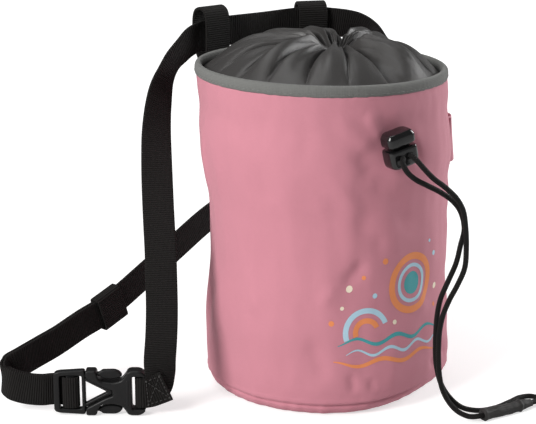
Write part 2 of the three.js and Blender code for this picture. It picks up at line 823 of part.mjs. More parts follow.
// The ladder frame with its two bars, the guide that fills the notch and the two prongs
function buckleTongue() {
  const frameEnd = socketMouth - clearance;
  const frameShape = mirrored([[frameEnd, buckleTop], ...frameCorner.map(onTongue)]);
  let body = solidOf(plate(frameShape, frameThickness, 0.6));
  const cuts = [
    slotCut(tongueSlotStart, tongueBarStart, frameThickness * 2, 0),
    slotCut(tongueBarEnd, frameEnd - innerBarWidth, frameThickness * 2, 0),
    slotCut(tongueEnd - outerBarWidth, tongueSlotStart, frameThickness, -frameThickness * 0.8),
  ];
  for (const side of [-1, 1]) {
    const front = side * (barThickness + frameThickness) * 0.5;
    cuts.push(slotCut(tongueBarStart - clearance, tongueBarEnd + clearance, frameThickness, front));
  }
  for (const cut of cuts) {
    body = body.subtract(cut);
  }
  const guideRoot = clearance + innerBarWidth / 2;
  const guide = solidOf(plate(notchShape(guideBand, guideRoot), prongThickness + 0.4, 0.4));
  const opening = solidOf(plate(notchShape(0.2, clearance), buckleThickness, 0));
  body = body.add(guide).subtract(opening);
  for (const side of [-1, 1]) {
    const prong = outlineOf(prongOutline.map(onSocket).map(([x, y]) => [x, side * y]));
    body = body.add(solidOf(plate(prong, prongThickness, 0.5)));
  }
  return geometryOf(body);
}

// The housing: open at the mouth, notched in the middle, with a window at each side for a prong
function buckleSocket() {
  const housing = mirrored(housingEdge.map(onSocket));
  let body = solidOf(plate(housing, buckleThickness, 0.8));
  const notch = notchShape(guideBand + clearance, 2);
  const cuts = [
    solidOf(plate(notch, buckleThickness * 2, 0)),
    slotCut(socketSlotStart, socketBarStart, buckleThickness * 2, 0),
  ];
  for (const side of [-1, 1]) {
    const front = side * (buckleThickness + barThickness) * 0.5;
    cuts.push(slotCut(socketSlotStart, buckleHalf + socketBarWidth, buckleThickness, front));
    const low = side * (buckleTop * prongRoot.low - clearance);
    const high = side * (buckleTop * prongRoot.high + clearance);
    const from = socketMouth - 2;
    const to = socketMouth + socketLength * prongRoot.along;
    const wayIn = outlineOf([[from, low], [to, low], [to, high], [from, high]]);
    cuts.push(solidOf(plate(wayIn, prongThickness + 2 * clearance, 0)));
  }
  for (const cut of cuts) {
    body = body.subtract(cut);
  }
  return geometryOf(body);
}

function placeOnBuckle(mesh) {
  const basis = new THREE.Matrix4().makeBasis(buckleAlong, up, buckleFront);
  mesh.quaternion.setFromRotationMatrix(basis);
  mesh.position.copy(buckleMiddle);
  return mesh;
}

// A rounded rectangle in the lock's own axes, anticlockwise seen from above
function lockRing(width, depth, corner, height) {
  const points = [];
  for (let quarter = 0; quarter < 4; quarter += 1) {
    for (const step of [0, 0.5, 1]) {
      const angle = (quarter + step) * (Math.PI / 2);
      const signX = quarter < 2 ? 1 : -1;
      const signZ = quarter === 0 || quarter === 3 ? 1 : -1;
      points.push(
        new THREE.Vector3(
          signX * (width / 2 - corner) + corner * Math.sin(angle),
          height,
          signZ * (depth / 2 - corner) + corner * Math.cos(angle) + lockDepth / 2,
        ),
      );
    }
  }
  return points;
}

function cordHole(x, radius, height) {
  const hole = new THREE.CylinderGeometry(radius, radius, lockDepth * 2, 16);
  hole.rotateX(Math.PI / 2);
  hole.translate(x, height, lockDepth / 2);
  return solidOf(hole);
}

const holeRadius = cordDiameter / 2 + clearance;
const capFoot = lockHousing + lockGap;
const stemFoot = pocketFloor + clearance + buttonTravel;

function cordLockBody() {
  const shape = [
    { share: 0.8, high: 0 },
    { share: 0.97, high: 0.16 },
    { share: 1, high: 0.5 },
    { share: 1, high: 0.93 },
    { share: 0.95, high: 1 },
  ];
  const rings = shape.map(({ share, high }) =>
    lockRing(lockWidth * share, lockDepth * share, lockCorner, lockHousing * high),
  );
  let body = solidOf(loft(rings));
  body = body.subtract(
    block(
      stemWidth + 2 * clearance,
      lockHousing,
      stemDepth + 2 * clearance,
      0,
      pocketFloor + lockHousing / 2,
      lockDepth / 2,
    ),
  );
  for (const side of [-1, 1]) {
    body = body.subtract(cordHole((side * holeSpacing) / 2, holeRadius, holeHeight));
  }
  return geometryOf(body);
}

// The spring button: a cap, and a stem whose slots let it travel past the cords
function cordLockButton() {
  const shape = [
    { share: 0.9, high: 0 },
    { share: 0.97, high: 0.12 },
    { share: 0.97, high: 0.66 },
    { share: 0.93, high: 0.8 },
    { share: 0.74, high: 1 },
  ];
  const rings = shape.map(({ share, high }) =>
    lockRing(lockWidth * share, lockDepth * share, lockCorner, capFoot + lockCap * high),
  );
  const stemHeight = capFoot + 1 - stemFoot;
  let body = solidOf(loft(rings)).add(
    block(stemWidth, stemHeight, stemDepth, 0, stemFoot + stemHeight / 2, lockDepth / 2),
  );
  for (const side of [-1, 1]) {
    const x = (side * holeSpacing) / 2;
    const slotTop = holeHeight + buttonTravel;
    body = body.subtract(cordHole(x, holeRadius, holeHeight));
    body = body.subtract(cordHole(x, holeRadius, slotTop));
    body = body.subtract(
      block(
        2 * holeRadius,
        buttonTravel,
        lockDepth * 2,
        x,
        holeHeight + buttonTravel / 2,
        lockDepth / 2,
      ),
    );
  }
  return geometryOf(body);
}

const lockOut = outward(lockTurn);
const lockSide = new THREE.Vector3().crossVectors(up, lockOut);
const lockRight = lockSide
  .clone()
  .multiplyScalar(Math.cos(degrees(lockRoll)))
  .addScaledVector(up, Math.sin(degrees(lockRoll)));
const lockUp = lockOut.clone().cross(lockRight);
const lockSeat = leaned(wallPoint(lockTurn, lockHeight + holeHeight, -clearance - 0.15));
lockSeat.addScaledVector(lockUp, -holeHeight);

function placeOnWall(mesh) {
  const basis = new THREE.Matrix4().makeBasis(lockRight, lockUp, lockOut);
  mesh.quaternion.setFromRotationMatrix(basis);
  mesh.position.copy(lockSeat);
  return mesh;
}

const sleeveAlong = sleeveEnd.clone().sub(sleeveStart).normalize();
const sleeveMiddle = sleeveStart.clone().add(sleeveEnd).multiplyScalar(0.5);

// One strand: straight through the lock, along its points and up to one end of the sleeve
function drawcord(side, points, sleeveEndSide) {
  const atSleeve = (gap) =>
    sleeveMiddle
      .clone()
      .addScaledVector(sleeveAlong, sleeveEndSide * (sleeveLength / 2 + gap));
  const inLock = (out) =>
    lockSeat
      .clone()
      .addScaledVector(lockRight, (side * holeSpacing) / 2)
      .addScaledVector(lockUp, holeHeight)
      .addScaledVector(lockOut, out);
  const route = [
    inLock(0),
    inLock(lockDepth * 0.5),
    inLock(lockDepth + 3 * clearance),
    ...points.map(([x, y, z]) => new THREE.Vector3(x, y, z)),
    atSleeve(cordDiameter),
    atSleeve(clearance),
  ];
  const curve = new THREE.CatmullRomCurve3(route, false, 'centripetal');
  const section = new THREE.Shape();
  const sides = 8;
  for (let i = 0; i < sides; i += 1) {
    const angle = (i / sides) * Math.PI * 2;
    const x = (cordDiameter / 2) * Math.cos(angle);
    const y = (cordDiameter / 2) * Math.sin(angle);
    if (i === 0) {
      section.moveTo(x, y);
    } else {
      section.lineTo(x, y);
    }
  }
  section.closePath();
  const steps = Math.min(39, Math.ceil(curve.getLength() / (cordDiameter * 2)));
  return new THREE.ExtrudeGeometry(section, { steps, extrudePath: curve, bevelEnabled: false });
}

const sleeveTube = new THREE.CylinderGeometry(
  sleeveDiameter / 2,
  sleeveDiameter / 2,
  sleeveLength,
  12,
);
const sleeve = meshOf('cord_sleeve', sleeveTube, cordMaterial);
sleeve.quaternion.setFromUnitVectors(new THREE.Vector3(0, 1, 0), sleeveAlong);
sleeve.position.copy(sleeveMiddle);

const bag = new THREE.Group();
bag.add(
  meshOf('bag_shell', bagShell(), shellMaterial),
  meshOf('rim_binding', rimBinding(), bindingMaterial),
  meshOf('closure', closure(), closureMaterial),
  meshOf('belt_loop_left', beltLoop(-1), webbingMaterial),
  meshOf('belt_loop_right', beltLoop(1), webbingMaterial),
  meshOf('brush_loop', brushLoop(), shellMaterial),
  meshOf('waist_belt', waistBelt(), webbingMaterial),
  meshOf('belt_keeper', beltKeeper(), webbingMaterial),
  placeOnBuckle(meshOf('buckle_tongue', buckleTongue(), plasticMaterial)),
  placeOnBuckle(meshOf('buckle_socket', buckleSocket(), plasticMaterial)),
  placeOnWall(meshOf('cord_lock_body', cordLockBody(), plasticMaterial)),
  placeOnWall(meshOf('cord_lock_button', cordLockButton(), plasticMaterial)),
  meshOf('drawcord_left', drawcord(-1, leftStrand, 1), cordMaterial),
  meshOf('drawcord_right', drawcord(1, rightStrand, -1), cordMaterial),
  sleeve,
);

export default bag;
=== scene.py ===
import json
import math
import bpy
import bmesh
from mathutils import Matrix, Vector, noise

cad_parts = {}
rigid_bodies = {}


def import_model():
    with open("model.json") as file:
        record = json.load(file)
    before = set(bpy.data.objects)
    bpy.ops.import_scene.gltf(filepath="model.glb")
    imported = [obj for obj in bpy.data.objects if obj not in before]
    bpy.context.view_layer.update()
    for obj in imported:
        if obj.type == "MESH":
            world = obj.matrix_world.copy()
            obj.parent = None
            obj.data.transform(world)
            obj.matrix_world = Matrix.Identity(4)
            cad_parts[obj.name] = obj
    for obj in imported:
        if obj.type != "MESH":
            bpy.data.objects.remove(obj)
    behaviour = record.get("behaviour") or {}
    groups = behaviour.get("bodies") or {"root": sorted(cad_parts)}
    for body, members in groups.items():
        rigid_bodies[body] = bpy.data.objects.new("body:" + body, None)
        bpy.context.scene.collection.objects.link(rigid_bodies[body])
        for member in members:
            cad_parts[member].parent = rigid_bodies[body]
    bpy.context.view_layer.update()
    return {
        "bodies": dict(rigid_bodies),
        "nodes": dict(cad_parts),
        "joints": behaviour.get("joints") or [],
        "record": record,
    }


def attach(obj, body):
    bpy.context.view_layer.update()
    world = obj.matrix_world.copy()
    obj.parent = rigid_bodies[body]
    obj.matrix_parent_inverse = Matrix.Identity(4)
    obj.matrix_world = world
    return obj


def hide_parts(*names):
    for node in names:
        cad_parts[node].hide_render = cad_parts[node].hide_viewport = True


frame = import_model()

# A climbing chalk bag: cloth, webbing, buckle and cord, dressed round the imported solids.
# Lengths in the tables are millimetres unless a note says otherwise; meshes come out in metres.
# A turn is an angle about Z in degrees from the front, growing towards +X.
scene = bpy.context.scene
mm = 0.001

cameraSettings = {
    "place": (-0.3801, -0.6609, 0.2930),
    "pitch": 15.4,
    "heading": -28.0,
    "lens": 108.67,
}


def addCamera(settings):
    data = bpy.data.cameras.new("photoCamera")
    data.sensor_width = 36
    data.lens = settings["lens"]
    data.clip_start = 0.02
    data.clip_end = 20
    item = bpy.data.objects.new("photoCamera", data)
    item.location = settings["place"]
    pitch = math.radians(90 - settings["pitch"])
    item.rotation_euler = (pitch, 0, math.radians(settings["heading"]))
    scene.collection.objects.link(item)
    scene.camera = item


addCamera(cameraSettings)
print("camera placed")


# Small maths used by every piece
def lerp(a, b, share):
    return a + (b - a) * share


def clamp(value, low=0.0, high=1.0):
    return max(low, min(high, value))


def smoothstep(value, low, high):
    share = clamp((value - low) / (high - low))
    return share * share * (3 - 2 * share)


def bell(distance, span):
    return math.exp(-((distance / span) ** 2))


def angleBetween(a, b):
    return (a - b + 180) % 360 - 180


def outward(turn):
    return Vector((math.sin(math.radians(turn)), -math.cos(math.radians(turn)), 0))


up = Vector((0, 0, 1))


def hermite(start, end, slopeIn, slopeOut, s):
    return (
        start * (2 * s**3 - 3 * s**2 + 1)
        + end * (3 * s**2 - 2 * s**3)
        + slopeIn * (s**3 - 2 * s**2 + s)
        + slopeOut * (s**3 - s**2)
    )


def curveThrough(points, perSpan):  # the same smooth line through points as in the solids
    points = [Vector(p) for p in points]
    line = []
    for i, (start, end) in enumerate(zip(points, points[1:])):
        before = points[i - 1] if i > 0 else start * 2 - end
        after = points[i + 2] if i + 2 < len(points) else end * 2 - start
        gaps = [
            max((b - a).length, 1e-6) ** 0.5
            for a, b in ((before, start), (start, end), (end, after))
        ]
        slopeIn = (start - before) / gaps[0] - (end - before) / (gaps[0] + gaps[1])
        slopeIn = (slopeIn + (end - start) / gaps[1]) * gaps[1]
        slopeOut = (end - start) / gaps[1] - (after - start) / (gaps[1] + gaps[2])
        slopeOut = (slopeOut + (after - end) / gaps[2]) * gaps[1]
        line += [hermite(start, end, slopeIn, slopeOut, step / perSpan) for step in range(perSpan)]
    line.append(points[-1])
    return line


def lineLength(line):
    return sum((b - a).length for a, b in zip(line, line[1:]))


# Meshes from rings of points. uv is metres along the rings and metres round them.
def skin(name, rings, material, joined=False, capped=True, smooth=True, scale=mm):
    count = len(rings[0])
    verts = [p * scale for ring in rings for p in ring]
    faces, uvs = [], []
    along = [0.0]
    for a, b in zip(rings, rings[1:] + rings[:1]):
        along.append(along[-1] + sum((q - p).length for p, q in zip(a, b)) / count * scale)
    middle = rings[len(rings) // 2]
    around = [0.0]
    for a, b in zip(middle, middle[1:] + middle[:1]):
        around.append(around[-1] + (b - a).length * scale)
    for r in range(len(rings) if joined else len(rings) - 1):
        low, high = r * count, ((r + 1) % len(rings)) * count
        for i in range(count):
            nextOne = (i + 1) % count
            faces.append((low + i, low + nextOne, high + nextOne, high + i))
            uvs += [
                (along[r], around[i]),
                (along[r], around[i + 1]),
                (along[r + 1], around[i + 1]),
                (along[r + 1], around[i]),
            ]
    if capped and not joined:
        for r in (0, len(rings) - 1):
            centre = len(verts)
            verts.append(sum(rings[r], Vector()) / count * scale)
            for i in range(count):
                a, b = r * count + i, r * count + (i + 1) % count
                faces.append((centre, b, a) if r == 0 else (centre, a, b))
                uvs += [(along[r], 0.0), (along[r], around[i]), (along[r], around[i + 1])]
    return meshPiece(name, verts, faces, material, uvs, smooth)


def meshPiece(name, verts, faces, material, uvs=None, smooth=True):
    mesh = bpy.data.meshes.new(name)
    mesh.from_pydata([tuple(v) for v in verts], [], faces)
    if uvs:
        layer = mesh.uv_layers.new(name="UVMap")
        layer.data.foreach_set("uv", [c for pair in uvs for c in pair])
    if smooth:
        mesh.polygons.foreach_set("use_smooth", [True] * len(mesh.polygons))
    mesh.materials.append(material)
    item = bpy.data.objects.new(name, mesh)
    scene.collection.objects.link(item)
    recalculateNormals(item)
    return item


def recalculateNormals(item):
    work = bmesh.new()
    work.from_mesh(item.data)
    bmesh.ops.recalc_face_normals(work, faces=work.faces)
    work.to_mesh(item.data)
    work.free()


def joinPieces(name, pieces):  # several meshes as one object; each part keeps its material
    work = bmesh.new()
    materials = []
    for piece in pieces:
        first = len(work.faces)
        work.from_mesh(piece.data)
        work.faces.ensure_lookup_table()
        slots = []
        for material in piece.data.materials:
            if material not in materials:
                materials.append(material)
            slots.append(materials.index(material))
        for face in work.faces[first:]:
            face.material_index = slots[face.material_index] if slots else 0
    mesh = bpy.data.meshes.new(name)
    work.to_mesh(mesh)
    work.free()
    for material in materials:
        mesh.materials.append(material)
    for piece in pieces:
        bpy.data.objects.remove(piece)
    item = bpy.data.objects.new(name, mesh)
    scene.collection.objects.link(item)
    return item


def evaluated(item):  # the mesh with its modifiers applied, in the object's own axes
    bpy.context.view_layer.update()
    shown = item.evaluated_get(bpy.context.evaluated_depsgraph_get())
    return bpy.data.meshes.new_from_object(shown)


def finishModifiers(item):
    mesh = evaluated(item)
    old = item.data
    item.modifiers.clear()
    item.data = mesh
    bpy.data.meshes.remove(old)
    return item


# Materials: textures run in the object's own space or along its UV map, both in metres
def nodesOf(name):
    material = bpy.data.materials.new(name)
    material.use_nodes = True
    tree = material.node_tree
    return material, tree, tree.nodes["Principled BSDF"]


def fillSockets(tree, node, inputs):  # a socket is linked, any other value is set
    for key, value in inputs.items():
        if isinstance(value, bpy.types.NodeSocket):
            tree.links.new(value, node.inputs[key])
        else:
            node.inputs[key].default_value = value


def addNode(tree, kind, inputs=None, **settings):
    node = tree.nodes.new(kind)
    for key, value in settings.items():
        setattr(node, key, value)
    fillSockets(tree, node, inputs or {})
    return node


def mathNode(tree, operation, *values):
    return addNode(tree, "ShaderNodeMath", dict(enumerate(values)), operation=operation).outputs[0]


def mixColours(tree, share, first, second):
    inputs = {0: share, 6: first, 7: second}
    return addNode(tree, "ShaderNodeMix", inputs, data_type="RGBA").outputs[2]


def stripes(tree, coordinate, pitch, sharpness=1.0):  # 0 to 1 and back once in each pitch
    wave = mathNode(tree, "SINE", mathNode(tree, "MULTIPLY", coordinate, 2 * math.pi / pitch))
    half = mathNode(tree, "MULTIPLY_ADD", wave, 0.5, 0.5)
    return half if sharpness == 1.0 else mathNode(tree, "POWER", half, sharpness)


def objectSpace(tree):
    return addNode(tree, "ShaderNodeTexCoord").outputs["Object"]


def uvOf(tree):
    return addNode(tree, "ShaderNodeUVMap", uv_map="UVMap").outputs[0]


def alongAndAcross(tree):
    axes = addNode(tree, "ShaderNodeSeparateXYZ", {0: uvOf(tree)})
    return axes.outputs[0], axes.outputs[1]


def clouds(tree, where, scale, detail, **more):
    inputs = {"Vector": where, "Scale": scale, "Detail": detail, **more}
    return addNode(tree, "ShaderNodeTexNoise", inputs).outputs["Fac"]


def mapped(tree, value, low, high, **more):
    inputs = {"Value": value, "To Min": low, "To Max": high, **more}
    return addNode(tree, "ShaderNodeMapRange", inputs).outputs[0]


def bump(tree, height, distance, strength, **more):
    inputs = {"Height": height, "Distance": distance, "Strength": strength, **more}
    return addNode(tree, "ShaderNodeBump", inputs).outputs[0]


def tint(colour, factor):
    return (*(min(1.0, c * factor) for c in colour), 1.0)


def shades(tree, share, colour, low, high):
    return mixColours(tree, share, tint(colour, low), tint(colour, high))


def clothMaterial(name, look):
    # A plain weave: threads cross at a pitch, with slow mottling and a soft sheen.
    material, tree, shader = nodesOf(name)
    where = objectSpace(tree)
    cross = mathNode(tree, "MULTIPLY", *(stripes(tree, axis, look["thread"])
                                         for axis in alongAndAcross(tree)))
    cloud = clouds(tree, where, look["cloudScale"], 3.0, Roughness=0.55)
    slub = clouds(tree, where, 900.0, 2.0, Roughness=0.6)
    wrinkles = clouds(tree, where, look["creaseScale"], 4.0, Roughness=0.5, Distortion=0.4)
    shade = mathNode(tree, "MULTIPLY_ADD", cross, 0.3, 0.35)
    shade = mathNode(tree, "MULTIPLY_ADD", slub, 0.3, shade)
    base = shades(tree, shade, look["colour"], 1 - look["contrast"], 1 + look["contrast"])
    weave = bump(tree, mathNode(tree, "MULTIPLY_ADD", slub, 0.5, cross), look["relief"], 0.5)
    fillSockets(tree, shader, {
        "Base Color": mixColours(tree, mathNode(tree, "MULTIPLY", cloud, look["cloud"]),
                                 base, tint(look["colour"], 0.72)),
        "Roughness": mapped(tree, cloud, look["roughness"] - 0.06, look["roughness"] + 0.06),
        "Normal": bump(tree, wrinkles, look["crease"], 0.6, Normal=weave),
        "Sheen Weight": look["sheen"], "Sheen Roughness": 0.45, "Sheen Tint": look["sheenTint"],
        "Specular IOR Level": look["specular"]})
    return material


def webbingMaterial(name, look):
    # Ribs run across the webbing; fine threads run along it between smoother edges.
    material, tree, shader = nodesOf(name)
    along, across = alongAndAcross(tree)
    uneven = clouds(tree, uvOf(tree), 700.0, 2.0)
    wobble = mathNode(tree, "MULTIPLY_ADD", uneven, look["rib"] * 0.35, along)
    body = mathNode(tree, "MULTIPLY_ADD", stripes(tree, across, look["thread"]), 0.35,
                    stripes(tree, wobble, look["rib"], 0.7))
    shade = mathNode(tree, "MULTIPLY_ADD", uneven, 0.4, mathNode(tree, "MULTIPLY", body, 0.55))
    fillSockets(tree, shader, {
        "Base Color": shades(tree, shade, look["colour"], 0.45, 1.6),
        "Roughness": look["roughness"], "Normal": bump(tree, body, look["relief"], 0.9),
        "Sheen Weight": look["sheen"], "Sheen Roughness": 0.4, "Specular IOR Level": 0.14})
    return material


def cordMaterial(name, look):
    # A braid: two sets of strands wind round the cord in opposite directions.
    material, tree, shader = nodesOf(name)
    axes = alongAndAcross(tree)
    braid = mathNode(tree, "MAXIMUM", *(stripes(tree, mathNode(tree, way, *axes), look["strand"])
                                        for way in ("ADD", "SUBTRACT")))
    fillSockets(tree, shader, {
        "Base Color": shades(tree, braid, look["colour"], 0.4, 1.5),
        "Roughness": look["roughness"], "Normal": bump(tree, braid, look["relief"], 0.9),
        "Sheen Weight": 0.02, "Specular IOR Level": 0.16})
    return material


def plasticMaterial(name, look):
    # Moulded plastic with a fine grain, faint scuffs and slightly worn roughness.
    material, tree, shader = nodesOf(name)
    where = objectSpace(tree)
    grain = clouds(tree, where, look["grainScale"], 3.0)
    scuff = clouds(tree, where, 90.0, 5.0, Roughness=0.65, Distortion=1.2)
    worn = {"From Min": 0.35, "From Max": 0.7}
    fillSockets(tree, shader, {
        "Base Color": shades(tree, scuff, look["colour"], 0.85, 1.25),
        "Roughness": mapped(tree, scuff, look["roughness"], look["roughness"] + 0.14, **worn),
        "Normal": bump(tree, grain, look["relief"], 0.5),
        "Specular IOR Level": look["specular"], "Coat Weight": look["coat"],
        "Coat Roughness": 0.12})
    return material


white = (1.0, 1.0, 1.0, 1.0)
pinkCloth = clothMaterial("pinkCloth", {
    "colour": (0.555, 0.226, 0.28), "contrast": 0.07, "thread": 0.00045, "relief": 0.00012,
    "cloud": 0.12, "cloudScale": 26.0, "crease": 0.0009, "creaseScale": 38.0,
    "roughness": 0.74, "sheen": 0.12, "sheenTint": (1.0, 0.8, 0.84, 1.0), "specular": 0.2})
greyTape = clothMaterial("greyTape", {
    "colour": (0.15, 0.152, 0.146), "contrast": 0.3, "thread": 0.0007, "relief": 0.0003,
    "cloud": 0.15, "cloudScale": 120.0, "crease": 0.0002, "creaseScale": 200.0,
    "roughness": 0.82, "sheen": 0.08, "sheenTint": white, "specular": 0.2})
darkNylon = clothMaterial("darkNylon", {
    "colour": (0.034, 0.0322, 0.0315), "contrast": 0.12, "thread": 0.0004, "relief": 0.00008,
    "cloud": 0.2, "cloudScale": 60.0, "crease": 0.0004, "creaseScale": 90.0,
    "roughness": 0.4, "sheen": 0.03, "sheenTint": (1.0, 0.98, 0.96, 1.0), "specular": 0.45})
sleeveCloth = clothMaterial("sleeveCloth", {
    "colour": (0.022, 0.021, 0.0205), "contrast": 0.25, "thread": 0.0006, "relief": 0.0002,
    "cloud": 0.2, "cloudScale": 150.0, "crease": 0.0004, "creaseScale": 160.0,
    "roughness": 0.6, "sheen": 0.05, "sheenTint": white, "specular": 0.3})
blackWebbing = webbingMaterial("blackWebbing", {
    "colour": (0.0085, 0.0077, 0.0073), "rib": 0.00105, "thread": 0.0006, "relief": 0.00035,
    "roughness": 0.72, "sheen": 0.02})
blackCord = cordMaterial("blackCord", {
    "colour": (0.0052, 0.0048, 0.0046), "strand": 0.0011, "relief": 0.00028, "roughness": 0.62})
satinPlastic = plasticMaterial("satinPlastic", {
    "colour": (0.006, 0.006, 0.0063), "roughness": 0.38, "relief": 0.00005,
    "grainScale": 1600.0, "specular": 0.28, "coat": 0.0})
glossPlastic = plasticMaterial("glossPlastic", {
    "colour": (0.006, 0.006, 0.0063), "roughness": 0.16, "relief": 0.00002,
    "grainScale": 700.0, "specular": 0.42, "coat": 0.22})
plainThread = {
    "contrast": 0.2, "thread": 0.0003, "relief": 0.0001, "cloud": 0.1, "cloudScale": 60.0,
    "crease": 0.0001, "creaseScale": 300.0, "roughness": 0.6, "sheen": 0.2, "sheenTint": white,
    "specular": 0.3,
}
pinkThread = clothMaterial("pinkThread", {
    **plainThread, "colour": (0.55, 0.2, 0.27), "sheenTint": (1.0, 0.9, 0.9, 1.0)})
greyThread = clothMaterial("greyThread", {**plainThread, "colour": (0.16, 0.165, 0.16)})
blackThread = clothMaterial("blackThread", {
    **plainThread, "colour": (0.045, 0.043, 0.042), "roughness": 0.5})
print("materials made")


# The bag's own sizes
bag = {
    "height": 157.0, "rim": 60.0, "rimDrop": 2.4, "rimDropTurn": 62.0, "shiftTurn": 62.0,
    "wall": 2.0, "floor": 2.4, "round": 4.5, "clearance": 0.3,
    "bindingHeight": 5.0, "bindingWidth": 3.2,
    "baseLift": 4.4, "baseLiftTurn": 30.0, "baseLiftSpan": 30.0, "baseLiftReach": 26.0,
    "sides": 288, "levels": 96,
}
wallSections = [  # height as a share of the bag's, out and shift as shares of the rim
    (0.0, 0.968, 0.062), (0.05, 0.994, 0.068), (0.1, 1.003, 0.067), (0.18, 0.993, 0.06),
    (0.25, 0.988, 0.058), (0.33, 0.967, 0.058), (0.42, 0.957, 0.07), (0.5, 0.96, 0.068),
    (0.59, 0.965, 0.055), (0.66, 0.983, 0.042), (0.735, 1.003, 0.037), (0.8, 1.0, 0.028),
    (0.865, 0.987, 0.022), (0.92, 0.996, 0.016), (0.97, 0.996, 0.004),
]
dents = [  # turn, height, span in degrees, tall and deep as shares
    (-4, 0.71, 9, 0.07, -0.022), (24, 0.8, 12, 0.1, 0.016), (-34, 0.62, 18, 0.12, -0.012),
    (-58, 0.3, 16, 0.1, 0.014), (-20, 0.2, 20, 0.09, -0.012), (22, 0.36, 14, 0.2, -0.014),
    (150, 0.45, 30, 0.2, -0.02), (-150, 0.6, 26, 0.16, -0.015),
]


def columnAt(table, column, height):
    last = len(table) - 1
    row = 0
    while row < last - 1 and table[row + 1][0] < height:
        row += 1
    s = clamp((height - table[row][0]) / (table[row + 1][0] - table[row][0]))
    start, end = table[row][column], table[row + 1][column]
    slopeIn = (end - table[max(row - 1, 0)][column]) / 2
    slopeOut = (table[min(row + 2, last)][column] - start) / 2
    return hermite(start, end, slopeIn, slopeOut, s)


def leaned(point):
    share = point.z / bag["height"]
    side = point.dot(outward(bag["rimDropTurn"])) / bag["rim"]
    point.z -= bag["rimDrop"] / 2 * side * share * share
    return point


def lifted(point, turn, height):
    reach = 1 - smoothstep(height, 0, bag["baseLiftReach"])
    rise = bell(angleBetween(turn, bag["baseLiftTurn"]), bag["baseLiftSpan"])
    point.z += bag["baseLift"] * rise * reach
    return point


def wallPoint(turn, height, inset=0.0):
    share = height / bag["height"]
    radius = bag["rim"] * columnAt(wallSections, 1, share)
    for dentTurn, dentUp, span, tall, deep in dents:
        side = bell(angleBetween(turn, dentTurn), span)
        radius += bag["rim"] * deep * side * bell(share - dentUp, tall)
    point = outward(turn) * (radius - inset)
    point += outward(bag["shiftTurn"]) * bag["rim"] * columnAt(wallSections, 2, share)
    point.z = height
    return point


# Creases and ridges of the cloth between two places on the wall: turn and height at each end,
# half width and depth in mm, where a ridge is positive
creases = [
    (-26, 143, -6, 126, 4.2, 0.8), (-30, 118, -13, 96, 4.6, 0.7), (-16, 100, -2, 74, 5.5, -0.7),
    (-33, 52, -26, 66, 3.4, 0.7), (11, 137, 17, 116, 2.2, -1.3), (-11, 146, -3, 131, 3.2, 1.1),
    (-14, 130, -8, 112, 5.0, -1.0),
    (3, 112, 9, 84, 6.0, -0.9), (-24, 62, -12, 76, 3.6, -1.0), (-20, 22, -17, 11, 2.2, -0.8),
    (-10, 19, -9, 10, 2.0, -0.6), (-38, 40, -30, 16, 4.0, -0.6), (-62, 122, -55, 96, 5.0, -0.6),
    (14, 60, 24, 40, 5.5, 0.8), (38, 26, 44, 14, 2.4, -0.9), (25, 21, 30, 12, 2.0, -0.8),
    (52, 60, 49, 26, 3.6, -0.7), (60, 104, 52, 84, 4.2, 0.7), (-70, 70, -62, 44, 5.0, 0.6),
    (95, 120, 104, 88, 4.0, -0.8), (118, 90, 108, 52, 5.0, 0.8), (136, 124, 140, 84, 3.4, -0.9),
    (160, 118, 166, 70, 5.0, -0.8), (-170, 96, -176, 58, 4.4, 0.8),
    (-150, 130, -143, 92, 3.6, -1.0), (-122, 104, -130, 60, 5.0, -0.8),
    (-104, 132, -99, 96, 4.0, 0.7), (-98, 60, -106, 22, 4.0, -0.7),
    (128, 42, 122, 14, 2.6, -0.9), (172, 40, 168, 12, 2.4, -0.8), (-140, 44, -136, 12, 2.6, -0.8),
]


creaseFactor = 1.2


def creaseDepth(turn, height):
    total = 0.0
    for turnA, heightA, turnB, heightB, width, depth in creases:
        x = math.radians(angleBetween(turn, turnA)) * bag["rim"]
        if abs(x) > 45:
            continue
        y = height - heightA
        runX = math.radians(angleBetween(turnB, turnA)) * bag["rim"]
        runY = heightB - heightA
        s = clamp((x * runX + y * runY) / (runX * runX + runY * runY))
        gap = math.hypot(x - s * runX, y - s * runY)
        if gap < 3 * width:
            fade = smoothstep(s, 0, 0.35) * (1 - smoothstep(s, 0.65, 1))
            total += creaseFactor * depth * bell(gap, width) * fade
    return total


def slowNoise(turn, height, scale, seed):
    place = outward(turn) * bag["rim"] * scale
    return noise.noise(Vector((place.x + seed, place.y - seed, height * scale * 0.7)))


# The cloth's unevenness and its base seam, in mm
cloth = {
    "slowSwell": 0.7, "smallSwell": 0.28, "unevenness": 0.22, "puckerTop": 14, "hemFrom": 138,
    "hemTo": 151, "seamHeight": 5.2, "seamDepth": 1.25, "seamWidth": 0.7,
}


def clothPoint(turn, height):  # outside of the finished cloth wall
    swell = cloth["slowSwell"] * slowNoise(turn, height, 0.055, 3.0)
    swell += cloth["smallSwell"] * slowNoise(turn, height, 0.13, 11.0)
    swell += cloth["unevenness"] * noise.noise(outward(turn) * 9 + Vector((0, 0, height * 0.012)))
    seam = 1 - smoothstep(height, 0, cloth["puckerTop"])
    pucker = seam * (0.35 * math.sin(math.radians(turn * 37)) * slowNoise(turn, 5, 0.09, 7.0)
                     + 0.45 * slowNoise(turn, height, 0.3, 23.0))
    top = smoothstep(height, cloth["hemFrom"], cloth["hemTo"])
    hem = top * 0.25 * slowNoise(turn, height, 0.35, 31.0)
    keep = smoothstep(height, 1.5, 8) * (1 - 0.7 * top)
    groove = -cloth["seamDepth"] * bell(height - cloth["seamHeight"], cloth["seamWidth"])
    groove -= 0.5 * bell(height - cloth["seamHeight"] + 2.2, 2.0)
    groove += 0.45 * bell(height - cloth["seamHeight"] - 1.6, 1.0)
    out = swell * keep + pucker + hem + groove + creaseDepth(turn, height)
    return lifted(leaned(wallPoint(turn, height, -out)), turn, height)


